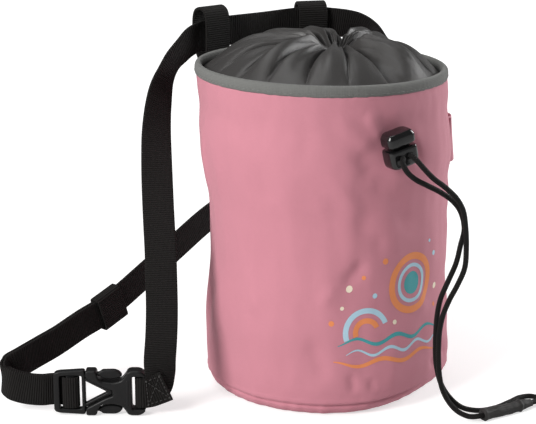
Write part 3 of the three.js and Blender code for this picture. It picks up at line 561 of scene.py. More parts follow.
def buildBagCloth():
    sides, rings = bag["sides"], []
    turns = [i / sides * 360 for i in range(sides)]
    foot, top = bag["round"], bag["height"] - bag["bindingHeight"] + 0.4

    def addRing(pointAt):
        rings.append([pointAt(turn) for turn in turns])

    for share in (0.35, 0.6):
        addRing(lambda turn: wallPoint(turn, 0, bag["rim"] * (1 - share)))
    for share in (0.8, 0.92):
        addRing(lambda turn: lifted(wallPoint(turn, 0, bag["rim"] * (1 - share)), turn, 0))
    for step in range(7):
        angle = step / 7 * math.pi / 2
        height, inset = foot * (1 - math.cos(angle)), foot * (1 - math.sin(angle))
        addRing(lambda turn: clothPoint(turn, height) - outward(turn) * inset)
    for level in range(bag["levels"] + 1):
        share = level / bag["levels"]
        height = lerp(foot, top, share ** 1.15)
        addRing(lambda turn: clothPoint(turn, height))
    for height in (top, 130, 90, 50, 20, bag["floor"] + 2):  # the inside
        addRing(lambda turn: lifted(leaned(wallPoint(turn, height, bag["wall"])), turn, height))
    addRing(lambda turn: wallPoint(turn, bag["floor"], bag["rim"] * 0.35))
    return skin("bagCloth", rings, pinkCloth)


bagCloth = buildBagCloth()
print("bag cloth", len(bagCloth.data.polygons), "faces")


# The tape that binds the rim: folded over the edge, with a row of stitches near its lower edge
binding = {"sides": 432, "wave": 0.22, "puff": 0.16, "stitchOut": 0.38, "stitchHigh": 1.15}


def rimPoint(turn, inset, high):
    point = outward(turn) * (bag["rim"] - inset)
    point.z = bag["height"] - bag["bindingHeight"] + high
    return leaned(point)


def buildRimBinding():
    sides = binding["sides"]
    section = [
        (0.25, -0.25), (-0.15, 0.15), (-0.3, 0.9), (-0.38, 1.8), (-0.35, 2.8), (-0.2, 3.7),
        (0.15, 4.4), (0.7, 4.85), (1.3, 5.0), (1.9, 4.98), (2.5, 4.7), (2.95, 4.1),
        (3.15, 3.2), (3.2, 2.2), (3.1, 0.8), (2.4, 0.1),
    ]
    rings = []
    for i in range(sides):
        turn = i / sides * 360
        wave = binding["wave"] * slowNoise(turn, 0, 0.4, 41.0)
        puff = binding["puff"] * slowNoise(turn, 0, 0.9, 53.0)
        ring = []
        for inset, high in section:
            low = 1 - smoothstep(high, 0.4, 2.2)
            ring.append(rimPoint(turn, inset - puff * (1 if inset < 0.3 else 0), high + wave * low))
        rings.append(ring)
    return skin("rimBinding", rings, greyTape, joined=True)


rimBinding = buildRimBinding()
print("rim binding made")


# The gathered cloth over the top. Each pleat has a turn, a rise as a share of height and a span.
closure = {
    "rise": 12.5, "pleatHeight": 4.5, "mouthRadius": 5.0, "mouthTurn": 62.0, "mouthShift": 6.6,
    "thickness": 1.2, "sides": 576, "steps": 56, "neck": 10, "gathers": 42, "crease": 0.42,
    "lobeRise": 1.65, "valley": 0.72, "wall": 0.6, "neckDrop": 5.5, "neckRipples": 17,
    "twist": 7, "wander": 1.6, "rippleDepth": 0.9, "fineGather": 0.12, "mouthGather": 1.3,
    "streak": 0.55, "dipFrom": 0.75, "dipDepth": 0.3,
}
pleats = [
    (-24, 0.55, 15), (-48, -0.85, 8), (-67, 1.05, 12), (-84, -0.55, 6), (-96, 0.6, 8),
    (-113, -0.4, 7), (-134, 0.55, 11), (-162, 0.9, 11), (180, -0.6, 7), (160, 0.95, 10),
    (139, -0.6, 7), (116, 1.0, 12), (88, -0.7, 9), (62, 0.35, 9), (38, 1.15, 12), (13, -1.2, 10),
]
# Lobes of cloth between sharp valleys: the turn where each starts, its crest and its lean
lobes = [
    (-180, 5.6, 0.9), (-157, 6.2, 1.2), (-131, 4.6, 0.85), (-109, 4.2, 1.1), (-91, 4.8, 0.9),
    (-75, 5.4, 1.15), (-57, 6.6, 0.8), (-36, 4.6, 1.0), (-13, 3.6, 0.8), (3, 6.8, 1.5),
    (47, 4.4, 0.9), (68, 4.6, 1.1), (90, 5.8, 1.2), (113, 5.0, 0.8), (136, 6.4, 1.1),
    (159, 5.0, 0.9), (180, 0, 1),
]


def lobeHeight(turn):
    turn = (turn + 180) % 360 - 180
    ends = [lobe[0] for lobe in lobes[1:]]
    for (start, crest, lean), end in zip(lobes, ends):
        if start <= turn <= end:
            arch = math.sin(math.pi * clamp((turn - start) / (end - start)) ** lean)
            return crest * closure["lobeRise"] * (arch ** closure["crease"] - closure["valley"])
    return 0.0


def closurePoint(turn, inward):  # inward runs from 0 at the rim to 1 at the mouth
    fold = sum(rise * bell(angleBetween(turn, at), span) for at, rise, span in pleats)
    dome = math.sin(min(inward * 2, 1) * math.pi / 2)
    dip = smoothstep(inward, closure["dipFrom"], 1)
    swell = smoothstep(inward, 0, 0.35) * (1 - 0.7 * dip)
    edge = bag["rim"] - bag["bindingWidth"] - bag["clearance"]
    twist = closure["twist"] * inward * inward * slowNoise(turn, 0, 0.05, 61.0)
    side = outward(turn) * 5.0 + Vector((0, 0, inward * 0.9))
    streak = noise.noise(side) + 0.5 * noise.noise(side * 2.3 + Vector((7, 0, 0)))
    wander = closure["wander"] * noise.noise(outward(turn) * 1.7 + Vector((0, 0, inward)))
    gather = math.sin(math.radians(turn * closure["gathers"]) + wander * 3)
    near = smoothstep(inward, 0.45, 0.95)
    deep = smoothstep(inward, 0.0, 0.22) * (0.5 + 0.5 * smoothstep(inward, 0.15, 0.7))
    radius = lerp(edge, closure["mouthRadius"], inward)
    ripple = math.sin(math.radians(turn * closure["gathers"] / 2) + wander * 2)
    radius += near * closure["rippleDepth"] * ripple * (1 - dip * 0.3)
    point = outward(turn + twist) * radius
    point += outward(closure["mouthTurn"]) * closure["mouthShift"] * inward
    point.z = bag["height"] - bag["bindingHeight"] + closure["thickness"]
    point.z += closure["rise"] * (dome - closure["dipDepth"] * dip)
    point.z += closure["pleatHeight"] * fold * swell * 0.7
    point.z += lobeHeight(turn + 4 * wander) * deep * (1 - 0.75 * dip)
    calm = 1 - 0.4 * dip
    point.z += streak * closure["streak"] * smoothstep(inward, 0, 0.12) * calm
    depth = closure["fineGather"] + closure["mouthGather"] * near
    point.z += gather * depth * smoothstep(inward, 0.02, 0.3) * calm
    return leaned(point)


def buildClosure():
    sides, steps = closure["sides"], closure["steps"]
    turns = [i / sides * 360 for i in range(sides)]
    rings = []
    for step in range(steps + 1):
        rings.append([closurePoint(turn, step / steps) for turn in turns])
    mouth = rings[-1]
    middle = sum(mouth, Vector()) / sides
    for step in range(1, closure["neck"] + 1):  # the gathered edge turns down into the mouth
        share = step / closure["neck"]
        ring = []
        for turn, point in zip(turns, mouth):
            ripple = 1 + 0.16 * math.sin(math.radians(turn * closure["neckRipples"])) * share
            inner = middle + (point - middle) * (1 - 0.22 * share) * ripple
            inner.z = point.z - closure["neckDrop"] * share * share - 0.6 * share
            ring.append(inner)
        rings.append(ring)
    item = skin("closureCloth", rings, darkNylon, capped=False)
    solidify = item.modifiers.new("thickness", "SOLIDIFY")
    solidify.thickness = closure["wall"] * mm
    solidify.offset = -1
    return finishModifiers(item)


closureCloth = buildClosure()
print("closure", len(closureCloth.data.polygons), "faces")


# Webbing: frames are a middle, a width direction and a thickness direction along a smooth line
webbing = {
    "width": 15.0, "thickness": 1.4, "edge": 0.55, "perSpan": 9,
    "loopTurn": 154.0, "loopFacing": 167.0, "loopSeat": 1.7, "loopRise": 20.0, "loopDepth": 10.0,
    "loopLeg": 26.0, "sag": 1.6, "leftSag": 3.2, "keeperLength": 15.0, "keeperWall": 1.1,
}


def framesThrough(stations, perSpan):
    line = curveThrough([point for point, wide in stations], perSpan)
    widths = curveThrough([wide for point, wide in stations], perSpan)
    frames = []
    for i, middle in enumerate(line):
        along = (line[min(i + 1, len(line) - 1)] - line[max(i - 1, 0)]).normalized()
        wide = (widths[i] - along * widths[i].dot(along)).normalized()
        frames.append({"middle": middle, "wide": wide, "thick": along.cross(wide), "along": along})
    return frames


def bandSection(width, thickness, edge):
    half, deep = width / 2, thickness / 2
    corner = [(half - edge + edge * math.sin(math.radians(a)),
               deep - edge * 0.9 + edge * 0.9 * math.cos(math.radians(a))) for a in (0, 35, 65, 90)]
    top = [((half - edge) * s / 4, deep) for s in (-3, -1.5, 0, 1.5, 3)]
    rightHalf = corner + [(x, -y) for x, y in reversed(corner)]
    below = [(x, -y) for x, y in reversed(top)]
    return top + rightHalf + below + [(-x, -y) for x, y in rightHalf]


def band(name, frames, material, width, thickness, edge=webbing["edge"]):
    section = bandSection(width, thickness, edge)
    rings = [[f["middle"] + f["wide"] * w + f["thick"] * t for w, t in section] for f in frames]
    return skin(name, rings, material)


def onBeltLoop(side, offset, height):
    point = outward(side * webbing["loopTurn"]) * (
        bag["rim"] + webbing["loopSeat"] + webbing["thickness"] / 2)
    point += outward(side * webbing["loopFacing"]) * offset
    point.z = height
    return leaned(point)


lap = webbing["thickness"] + bag["clearance"]


def buildBeltLoop(name, side):
    wide = outward(side * webbing["loopFacing"]).cross(up)
    arch = webbing["loopDepth"] / 2
    top = bag["height"] + webbing["loopRise"] - webbing["thickness"] / 2
    foot, shoulder = bag["height"] - webbing["loopLeg"], top - arch
    stations = []
    for share in (0, 0.5, 1):
        stations.append((onBeltLoop(side, 0, lerp(foot, shoulder, share)), wide))
    for angle in (45, 90, 135):
        turn = math.radians(angle)
        point = onBeltLoop(side, arch - arch * math.cos(turn), shoulder + arch * math.sin(turn))
        stations.append((point, wide))
    for share in (1, 0.8, 0.6, 0.4, 0.2, 0):
        offset = lerp(lap, webbing["loopDepth"], smoothstep(share, 0.25, 0.75))
        stations.append((onBeltLoop(side, offset, lerp(foot, shoulder, share)), wide))
    return band(name, framesThrough(stations, 8), blackWebbing, webbing["width"],
                webbing["thickness"])


beltLoopLeft = buildBeltLoop("beltLoopLeft", -1)
beltLoopRight = buildBeltLoop("beltLoopRight", 1)

# The low band for a brush, sewn down at both ends
brushLoop = {
    "turn": 81.0, "height": 0.75, "tall": 23.0, "standOff": 4.4,
    "tilt": 6.0, "thickness": 1.1,
    "profile": [(-14, 0), (-10, 0.04), (-7, 0.62), (-3.5, 0.95), (0, 1), (3.5, 0.95), (7, 0.62),
                (10, 0.04), (14, 0)],
}


def buildBrushLoop():
    height = brushLoop["height"] * bag["height"]
    seat = bag["clearance"] + brushLoop["thickness"] / 2
    stations = []
    for side, out in brushLoop["profile"]:
        turn = brushLoop["turn"] + math.degrees(side / bag["rim"])
        tilt = math.radians(brushLoop["tilt"] * out)
        wide = outward(turn) * -math.sin(tilt) + up * math.cos(tilt)
        point = wallPoint(turn, height, -seat - out * brushLoop["standOff"])
        stations.append((leaned(point), wide))
    return band("brushLoop", framesThrough(stations, 8), pinkCloth, brushLoop["tall"],
                brushLoop["thickness"], 0.45)


brushBand = buildBrushLoop()
print("loops made")

# The belt round the bag: turn, out as a share of the rim, up as a share of the bag's height,
# and the compass angle and climb of the webbing's width
hangingStretch = [
    (-83.8, 1.511, 0.241, 152, 0), (-86.4, 1.465, 0.308, 152, 0), (-90.0, 1.421, 0.389, 152, 0),
    (-94.5, 1.38, 0.469, 152, 0), (-100.0, 1.349, 0.548, 153, 0), (-105.7, 1.329, 0.628, 158, 0),
    (-111.5, 1.319, 0.71, 170, 0), (-118.0, 1.317, 0.79, 184, 0), (-123.8, 1.309, 0.867, 197, 0),
    (-129.2, 1.291, 0.928, 208, 6), (-133.5, 1.249, 0.979, 214, 24), (-138.5, 1.2, 1.011, 219, 56),
    (-143.9, 1.16, 1.036, 224, 84),
]
returningStretch = [
    (144.1, 1.135, 1.056, 256, 86), (136.1, 1.2, 1.047, 258, 66), (130.8, 1.265, 1.03, 259, 36),
    (127.2, 1.32, 1.0, 260, 12), (123.4, 1.375, 0.957, 260, 2), (121.0, 1.44, 0.9, 256, 0),
    (121.0, 1.46, 0.82, 252, 0), (127.0, 1.46, 0.74, 250, 4), (138.0, 1.44, 0.66, 250, 16),
    (152.0, 1.4, 0.585, 252, 38), (170.0, 1.34, 0.515, 254, 64), (186.0, 1.29, 0.46, 256, 82),
    (200.5, 1.27, 0.417, 258, 88), (215.6, 1.351, 0.349, 260, 89), (227.9, 1.5, 0.283, 262, 89),
    (239.8, 1.752, 0.211, 264, 89), (246.4, 1.97, 0.181, 266, 89), (251.3, 2.17, 0.154, 267, 89),
    (254.8, 2.34, 0.14, 268, 89),
]
# Beside the buckle, in shares of the webbing's width: along the buckle, up and to its front
leftBend = [
    (-2.66, 1.38, -0.86, 250, 89), (-2.95, 1.23, -0.62, 240, 89), (-3.06, 1.08, -0.32, 230, 89),
    (-2.82, 0.96, -0.08, 220, 89), (-2.3, 0.82, -0.02, 210, 90), (-1.8, 0.76, -0.06, 200, 90),
]
rightCorner = [
    (1.56, 0.71, -0.09, 176, 84), (1.76, 0.87, -0.08, 186, 60), (1.87, 1.24, -0.03, 180, 30),
    (1.88, 1.78, 0.0, 160, 8),
]
sewnFlap = [(2.08, 0.97, 0.1, 152, 74), (1.82, 0.86, 0.1, 152, 79), (1.56, 0.77, 0.12, 152, 84)]

# The buckle stands on its long edge. Lengths along it run from its middle towards the socket.
buckle = {
    "turn": -90.2, "out": 117.4, "heading": -28.0, "height": 22.0, "thickness": 7.0,
    "frame": 4.0, "bar": 2.6, "outerBar": 2.8, "tongueBar": 4.4, "innerBar": 1.6,
    "socketBar": 3.0, "slack": 1.6, "prong": 3.0, "guideBand": 1.9, "socketLength": 28.0,
}
slotWidth = webbing["thickness"] + buckle["slack"]
slotLength = webbing["width"] + 4 * bag["clearance"]
tongueLength = (buckle["outerBar"] + 2 * slotWidth + buckle["tongueBar"] + buckle["innerBar"]
                + bag["clearance"])
buckleHalf = (tongueLength + buckle["socketLength"]) / 2
tongueEnd = -buckleHalf
tongueSlotStart = tongueEnd + buckle["outerBar"]
tongueBarStart = tongueSlotStart + slotWidth
tongueBarEnd = tongueBarStart + buckle["tongueBar"]
socketMouth = tongueEnd + tongueLength
socketBarEnd = buckleHalf - bag["clearance"]
socketBarStart = socketBarEnd - buckle["socketBar"]
socketSlotStart = socketBarStart - slotWidth - bag["clearance"]
buckleMiddle = outward(buckle["turn"]) * buckle["out"]
buckleMiddle.z = buckle["height"] / 2 + bag["clearance"]
buckleAlong = Vector((math.cos(math.radians(buckle["heading"])),
                      math.sin(math.radians(buckle["heading"])), 0))
buckleFront = buckleAlong.cross(up)


def widthDirection(heading, rise):
    flat = math.cos(math.radians(rise))
    return Vector((flat * math.cos(math.radians(heading)),
                   flat * math.sin(math.radians(heading)), math.sin(math.radians(rise))))


def aroundBag(turn, out, high, heading, rise):
    point = outward(turn) * bag["rim"] * out
    point.z = bag["height"] * high
    return point, widthDirection(heading, rise)


def besideBuckle(along, high, front, heading, rise):
    point = buckleMiddle + buckleAlong * webbing["width"] * along
    point += buckleFront * webbing["width"] * front
    point.z = webbing["width"] * high
    return point, widthDirection(heading, rise)


def atBar(along, front):
    return buckleMiddle + buckleAlong * along + buckleFront * front, up


def beltFrames():
    loopUp = (bag["height"] + webbing["loopRise"] - webbing["thickness"] - webbing["sag"]
              - webbing["width"] / 2)
    leftLoop = onBeltLoop(-1, webbing["loopDepth"] / 2, loopUp)
    rightLoop = onBeltLoop(1, webbing["loopDepth"] / 2, loopUp)
    between = (leftLoop + rightLoop) / 2
    between.y += webbing["loopDepth"] * 0.12
    between.z -= webbing["leftSag"] * 0.5
    leftLoop.z -= webbing["leftSag"]
    barClear = bag["clearance"] + webbing["thickness"] / 2
    layer = buckle["bar"] / 2 + barClear
    stations = [besideBuckle(*row) for row in sewnFlap]
    stations += [
        atBar(socketBarEnd - 0.6, layer), atBar(socketBarStart + 0.4, layer),
        atBar(socketBarStart - barClear, layer - barClear),
        atBar(socketBarStart - barClear, barClear - layer),
        atBar(socketBarStart + 0.4, -layer), atBar(socketBarEnd - 0.6, -layer),
    ]
    stations += [besideBuckle(*row) for row in rightCorner]
    stations += [aroundBag(*row) for row in hangingStretch]
    stations += [(leftLoop, up), (between, up), (rightLoop, up)]
    stations += [aroundBag(*row) for row in returningStretch]
    stations += [besideBuckle(*row) for row in leftBend]
    stations += [
        atBar(tongueEnd - 1, -layer), atBar(tongueSlotStart, -layer),
        atBar(tongueBarStart - barClear, barClear - layer),
        atBar(tongueBarStart - barClear, layer - barClear),
        atBar(tongueBarStart + 0.4, layer), atBar(tongueBarEnd - 0.4, layer),
        atBar(tongueBarEnd + barClear, layer - barClear),
        atBar(tongueBarEnd + barClear, barClear - layer),
        atBar(tongueBarEnd - 0.6, -layer - lap * 0.7), atBar(tongueBarStart, -layer - lap),
    ]
    return framesThrough(stations, webbing["perSpan"])


belt = beltFrames()
keeperPlace = aroundBag(*returningStretch[-4])[0]
keeperAt = min(range(len(belt)), key=lambda i: (belt[i]["middle"] - keeperPlace).length)
tongueEntry = max(i for i, f in enumerate(belt)
                  if (f["middle"] - buckleMiddle).dot(buckleAlong) < tongueEnd)
tail = [{"middle": f["middle"] - f["thick"] * lap, "wide": f["wide"], "thick": -f["thick"],
         "along": -f["along"]} for f in reversed(belt[keeperAt:tongueEntry + 1])]
waistBelt = band("waistBelt", belt + tail, blackWebbing, webbing["width"], webbing["thickness"])
print("belt", round(lineLength([f["middle"] for f in belt + tail])), "mm")


def buildKeeper():
    here = belt[keeperAt]
    centre = here["middle"] - here["thick"] * lap / 2
    wall = webbing["keeperWall"]
    width = webbing["width"] + 4 * bag["clearance"] + wall
    depth = 2 * webbing["thickness"] + 6 * bag["clearance"] + wall
    corner = 1.6
    path = []
    for cx, cy, first in ((1, 1, 0), (-1, 1, 90), (-1, -1, 180), (1, -1, 270)):
        for step in range(7):
            angle = math.radians(first + step * 15)
            x = cx * (width / 2 - corner) + corner * math.cos(angle)
            y = cy * (depth / 2 - corner) + corner * math.sin(angle)
            path.append(centre + here["wide"] * x + here["thick"] * y)
    frames = []
    for i, middle in enumerate(path):
        along = (path[(i + 1) % len(path)] - path[i - 1]).normalized()
        wide = here["along"]
        frames.append({"middle": middle, "wide": wide, "thick": along.cross(wide), "along": along})
    section = bandSection(webbing["keeperLength"], wall, 0.45)
    rings = [[f["middle"] + f["wide"] * w + f["thick"] * t for w, t in section] for f in frames]
    return skin("beltKeeper", rings, blackWebbing, joined=True)


beltKeeper = buildKeeper()
print("keeper made")


# Buckle parts: flat outlines in the buckle's own axes, given thickness and softened edges
frameCorner = [(0.17, 0.93), (0.05, 0.88), (0, 0.78)]
prongOutline = [
    (-0.043, 0.735), (0.218, 0.735), (0.289, 0.62), (0.446, 0.58), (0.568, 0.66), (0.611, 0.74),
    (0.568, 0.9), (0.489, 0.99), (0.275, 0.98), (0.225, 0.865), (-0.043, 0.865),
]
housingEdge = [
    (0, 0.96), (0.021, 1), (0.175, 1), (0.2, 0.7), (0.26, 0.52), (0.446, 0.47), (0.589, 0.56),
    (0.66, 0.78), (0.696, 0.95), (0.754, 1), (0.896, 1), (0.975, 0.88), (0.989, 0.74),
]
notchEdge = [(0, 0.48), (0.143, 0.28), (0.351, 0)]


def onTongue(along, high):
    return (tongueEnd + tongueLength * along, buckle["height"] / 2 * high)


def onSocket(along, high):
    return (socketMouth + buckle["socketLength"] * along, buckle["height"] / 2 * high)


def mirrored(topHalf):
    return topHalf + [(x, -y) for x, y in reversed(topHalf)]


def notchLine(spread):
    apex = socketMouth + buckle["socketLength"] * notchEdge[-1][0]
    edge = [(x, y + spread) for x, y in (onSocket(*row) for row in notchEdge)]
    return edge + [(apex + spread * 1.3, spread * 0.6)]


def notchShape(spread, back):
    edge = notchLine(spread)
    return mirrored([(socketMouth - back, edge[0][1])] + edge)


def box(fromX, toX, lowY, highY):
    return [(fromX, lowY), (toX, lowY), (toX, highY), (fromX, highY)]


def roundCorners(points, radius, steps=5):  # each corner of an outline becomes a short arc
    rounded = []
    count = len(points)
    for i in range(count):
        before, here, after = (Vector((*points[j % count], 0)) for j in (i - 1, i, i + 1))
        toBefore, toAfter = before - here, after - here
        reach = min(radius, toBefore.length * 0.45, toAfter.length * 0.45)
        start = here + toBefore.normalized() * reach
        end = here + toAfter.normalized() * reach
        for step in range(steps + 1):
            s = step / steps
            point = start * (1 - s) ** 2 + here * 2 * s * (1 - s) + end * s**2
            rounded.append((point.x, point.y))
    return rounded


def plate(name, outlines, thickness, bevel):
    data = bpy.data.curves.new(name, "CURVE")
    data.dimensions = "2D"
    data.fill_mode = "BOTH"
    for outline in outlines:
        spline = data.splines.new("POLY")
        spline.points.add(len(outline) - 1)
        for point, (x, y) in zip(spline.points, outline):
            point.co = (x, y, 0, 1)
        spline.use_cyclic_u = True
    data.extrude = thickness / 2 - bevel
    data.bevel_depth = bevel
    data.bevel_resolution = 3
    data.offset = -bevel
    shape = bpy.data.objects.new(name + "Outline", data)
    scene.collection.objects.link(shape)
    mesh = evaluated(shape)
    bpy.data.objects.remove(shape)
    item = bpy.data.objects.new(name, mesh)
    scene.collection.objects.link(item)
    mesh.materials.clear()
    mesh.materials.append(satinPlastic)
    for vertex in mesh.vertices:
        x, y, z = vertex.co
        place = buckleMiddle + buckleAlong * x + up * y + buckleFront * z
        vertex.co = place * mm
    work = bmesh.new()
    work.from_mesh(mesh)
    bmesh.ops.remove_doubles(work, verts=work.verts, dist=1e-6)
    bmesh.ops.recalc_face_normals(work, faces=work.faces)
    work.to_mesh(mesh)
    work.free()
    mesh.polygons.foreach_set("use_smooth", [True] * len(mesh.polygons))
    mesh.set_sharp_from_angle(angle=math.radians(50))
    return item


def buildTongue():
    frameEnd = socketMouth - bag["clearance"]
    top, half = buckle["height"] / 2, slotLength / 2
    outer = roundCorners(mirrored([(frameEnd, top)] + [onTongue(*row) for row in frameCorner]), 1.4)
    window = roundCorners(box(tongueSlotStart, frameEnd - buckle["innerBar"], -half, half), 0.9)
    frame = plate("tongueFrame", [outer, window], buckle["frame"], 0.7)
    bar = plate("tongueBar", [box(tongueBarStart, tongueBarEnd, -half - 0.6, half + 0.6)],
                buckle["bar"], 0.9)
    guideRoot = bag["clearance"] + buckle["innerBar"] / 2
    outerGuide = roundCorners(notchShape(buckle["guideBand"], guideRoot), 1.5)
    innerGuide = roundCorners(notchShape(0.2, bag["clearance"] - 0.1), 0.8)
    guide = plate("guide", [outerGuide, innerGuide], buckle["prong"] + 0.4, 0.5)
    parts = [frame, bar, guide]
    for side in (-1, 1):
        prong = [(x, side * y) for x, y in (onSocket(*row) for row in prongOutline)]
        parts.append(plate("prong", [roundCorners(prong, 1.6)], buckle["prong"], 0.6))
    return joinPieces("buckleTongue", parts)


def buildSocket():
    half = slotLength / 2
    notch = notchLine(buckle["guideBand"] + bag["clearance"])
    housing = [onSocket(*row) for row in housingEdge]
    gap = [(housing[-1][0], half), (socketSlotStart, half)]  # the slot, open at the end
    outline = list(reversed(notch)) + housing + gap
    body = plate("housing", [roundCorners(mirrored(outline), 1.2)], buckle["thickness"], 0.9)
    bar = plate("socketBar", [box(socketBarStart, socketBarEnd, -half - 0.8, half + 0.8)],
                buckle["bar"], 0.9)
    rib = plate("socketRib", [roundCorners(box(
        socketSlotStart - 2.6, socketSlotStart - 1.2, -half * 0.8, half * 0.8), 0.6)],
        buckle["thickness"] + 0.5, 0.5)
    return joinPieces("buckleSocket", [body, bar, rib])


buckleTongue = buildTongue()
buckleSocket = buildSocket()
print("buckle made")

# The cord lock, in its own axes: right across the wall, up along the lock and out from the wall
lock = {
    "turn": 1.9, "height": 120.6, "roll": 13.0, "width": 14.8, "depth": 9.2, "housing": 8.8,
    "cap": 6.0, "gap": 1.6, "stemWidth": 9.4, "stemDepth": 4.0,
    "holeSpacing": 4.6, "holeHeight": 4.9, "holeRadius": 1.55, "corner": 2.2,
    "stemCorner": 1.0, "sharpAngle": 38,
    "pocketFloor": 6.7, "stemFoot": 8.15, "play": 0.3,  # the stem slides clear of the cords' holes
}
cordWidth, cordSteps = 2.5, 14
lockOut = outward(lock["turn"])
roll = math.radians(lock["roll"])
lockRight = up.cross(lockOut) * math.cos(roll) + up * math.sin(roll)
lockUp = lockOut.cross(lockRight)
lockSeat = leaned(wallPoint(lock["turn"], lock["height"] + lock["holeHeight"],
                            -bag["clearance"] - 0.15)) - lockUp * lock["holeHeight"]


def onLock(x, y, z):
    return lockSeat + lockRight * x + lockUp * y + lockOut * z


def lockSection(width, depth, corner, height):
    points = []
    for quarter in range(4):
        for step in range(7):
            angle = (quarter + step / 6) * math.pi / 2
            signX = 1 if quarter < 2 else -1
            signZ = 1 if quarter in (0, 3) else -1
            points.append(onLock(
                signX * (width / 2 - corner) + corner * math.sin(angle), height,
                signZ * (depth / 2 - corner) + corner * math.cos(angle) + lock["depth"] / 2))
    return points


def cordHoleCutter(x, height):
    rings = []
    for out in (-3.0, lock["depth"] + 3.0):
        rings.append([onLock(x + lock["holeRadius"] * math.cos(a / 20 * math.pi * 2),
                             height + lock["holeRadius"] * math.sin(a / 20 * math.pi * 2), out)
                      for a in range(20)])
    return skin("holeCutter", rings, glossPlastic, smooth=False)


def cutHoles(item):
    for side in (-1, 1):
        cutter = cordHoleCutter(side * lock["holeSpacing"] / 2, lock["holeHeight"])
        cut = item.modifiers.new("hole", "BOOLEAN")
        cut.object = cutter
        cut.operation = "DIFFERENCE"
        cut.solver = "EXACT"
        finishModifiers(item)
        bpy.data.objects.remove(cutter)
    item.data.polygons.foreach_set("use_smooth", [True] * len(item.data.polygons))
    item.data.set_sharp_from_angle(angle=math.radians(lock["sharpAngle"]))
    return item


def lockRings(profile, foot, tall):
    rings = []
    for share, high in profile:
        width, depth = lock["width"] * share, lock["depth"] * (0.35 + 0.65 * share)
        rings.append(lockSection(width, depth, lock["corner"], foot + tall * high))
    return rings


bodyProfile = [(0.62, 0.0), (0.78, 0.02), (0.88, 0.07), (0.95, 0.16), (0.985, 0.3),
               (1.0, 0.5), (1.0, 0.86), (0.99, 0.94), (0.965, 0.985), (0.92, 1.0)]
capProfile = [(0.3, 0.0), (0.88, 0.0), (0.93, 0.03), (0.965, 0.1), (0.975, 0.25), (0.975, 0.6),
              (0.96, 0.68), (0.93, 0.75), (0.83, 0.93), (0.78, 0.985), (0.72, 1.0), (0.3, 1.0)]


def buildHousing():
    rings = lockRings(bodyProfile, 0, lock["housing"])
    for height in (lock["housing"], lock["pocketFloor"]):  # the pocket that the stem slides in
        rings.append(lockSection(lock["stemWidth"] + 2 * lock["play"],
                                 lock["stemDepth"] + 2 * lock["play"],
                                 lock["stemCorner"] + 0.2, height))
    return skin("cordLockBody", rings, glossPlastic)


lockBody = cutHoles(buildHousing())
lockCap = skin("cordLockCap", lockRings(capProfile, lock["housing"] + lock["gap"], lock["cap"]),
               glossPlastic)


def buildStem():
    rings = []
    for height in (lock["stemFoot"], lock["housing"] + lock["gap"] + 1):
        rings.append(lockSection(lock["stemWidth"], lock["stemDepth"], lock["stemCorner"], height))
    return skin("cordLockStem", rings, glossPlastic)


lockButton = joinPieces("cordLockButton", [lockCap, buildStem()])
lockButton.data.set_sharp_from_angle(angle=math.radians(lock["sharpAngle"]))
print("cord lock made")

# The drawcord's two strands from the lock's front holes to the sleeve, in mm
leftStrand = [
    (-0.2, -73.4, 123.6), (0.9, -75.6, 119.8), (4.6, -76.8, 116.2), (10.6, -77.4, 112.8),
    (17.0, -78.2, 109.2), (22.8, -79.6, 104.8), (26.8, -80.4, 99.6), (29.3, -80.3, 91.2),
    (28.4, -79.0, 82.6), (27.5, -77.4, 74.2), (24.5, -75.8, 65.4), (22.6, -73.0, 56.6),
    (22.3, -71.2, 49.0), (22.6, -70.0, 41.3), (23.0, -69.2, 33.6), (23.4, -69.1, 26.1),
    (24.2, -69.7, 19.6), (25.5, -71.4, 13.2), (28.4, -74.4, 7.2), (32.6, -78.6, 2.9),
    (39.0, -82.4, 1.5), (48.0, -83.4, 1.4), (58.8, -80.6, 1.4), (66.6, -78.2, 1.4),
    (71.8, -79.2, 1.4), (73.6, -83.2, 1.5), (71.6, -86.9, 1.9),
]
rightStrand = [
    (6.8, -73.8, 124.2), (9.2, -76.8, 120.4), (12.6, -79.2, 116.2), (17.9, -81.0, 111.8),
    (23.0, -82.4, 106.6), (26.4, -83.0, 100.8), (28.4, -82.9, 91.2), (29.4, -82.3, 82.4),
    (29.6, -81.3, 72.6), (27.5, -79.1, 64.2), (25.0, -76.6, 56.6), (23.2, -74.5, 49.0),
    (22.6, -73.0, 41.3), (22.8, -72.2, 33.6), (23.0, -72.1, 26.1), (23.3, -72.6, 19.8),
    (23.7, -74.2, 13.6), (25.0, -77.2, 7.9), (27.3, -81.6, 3.6), (30.6, -86.8, 1.8),
]
sleeve = {"start": (36.2, -90.6, 2.7), "end": (65.2, -88.6, 2.7), "width": 5.2, "length": 29.0}
sleeveAlong = (Vector(sleeve["end"]) - Vector(sleeve["start"])).normalized()
sleeveMiddle = (Vector(sleeve["end"]) + Vector(sleeve["start"])) / 2


def tube(name, line, radiusAt, material, sides=14):
    rings = []
    normal = None
    for i, middle in enumerate(line):
        along = (line[min(i + 1, len(line) - 1)] - line[max(i - 1, 0)]).normalized()
        if normal is None:
            normal = along.orthogonal().normalized()
        normal = (normal - along * normal.dot(along)).normalized()
        side = along.cross(normal)
        ring = []
        for step in range(sides):
            angle = step / sides * math.pi * 2
            radius = radiusAt(i / (len(line) - 1), angle)
            ring.append(middle + normal * radius * math.cos(angle)
                        + side * radius * math.sin(angle))
        rings.append(ring)
    return skin(name, rings, material)


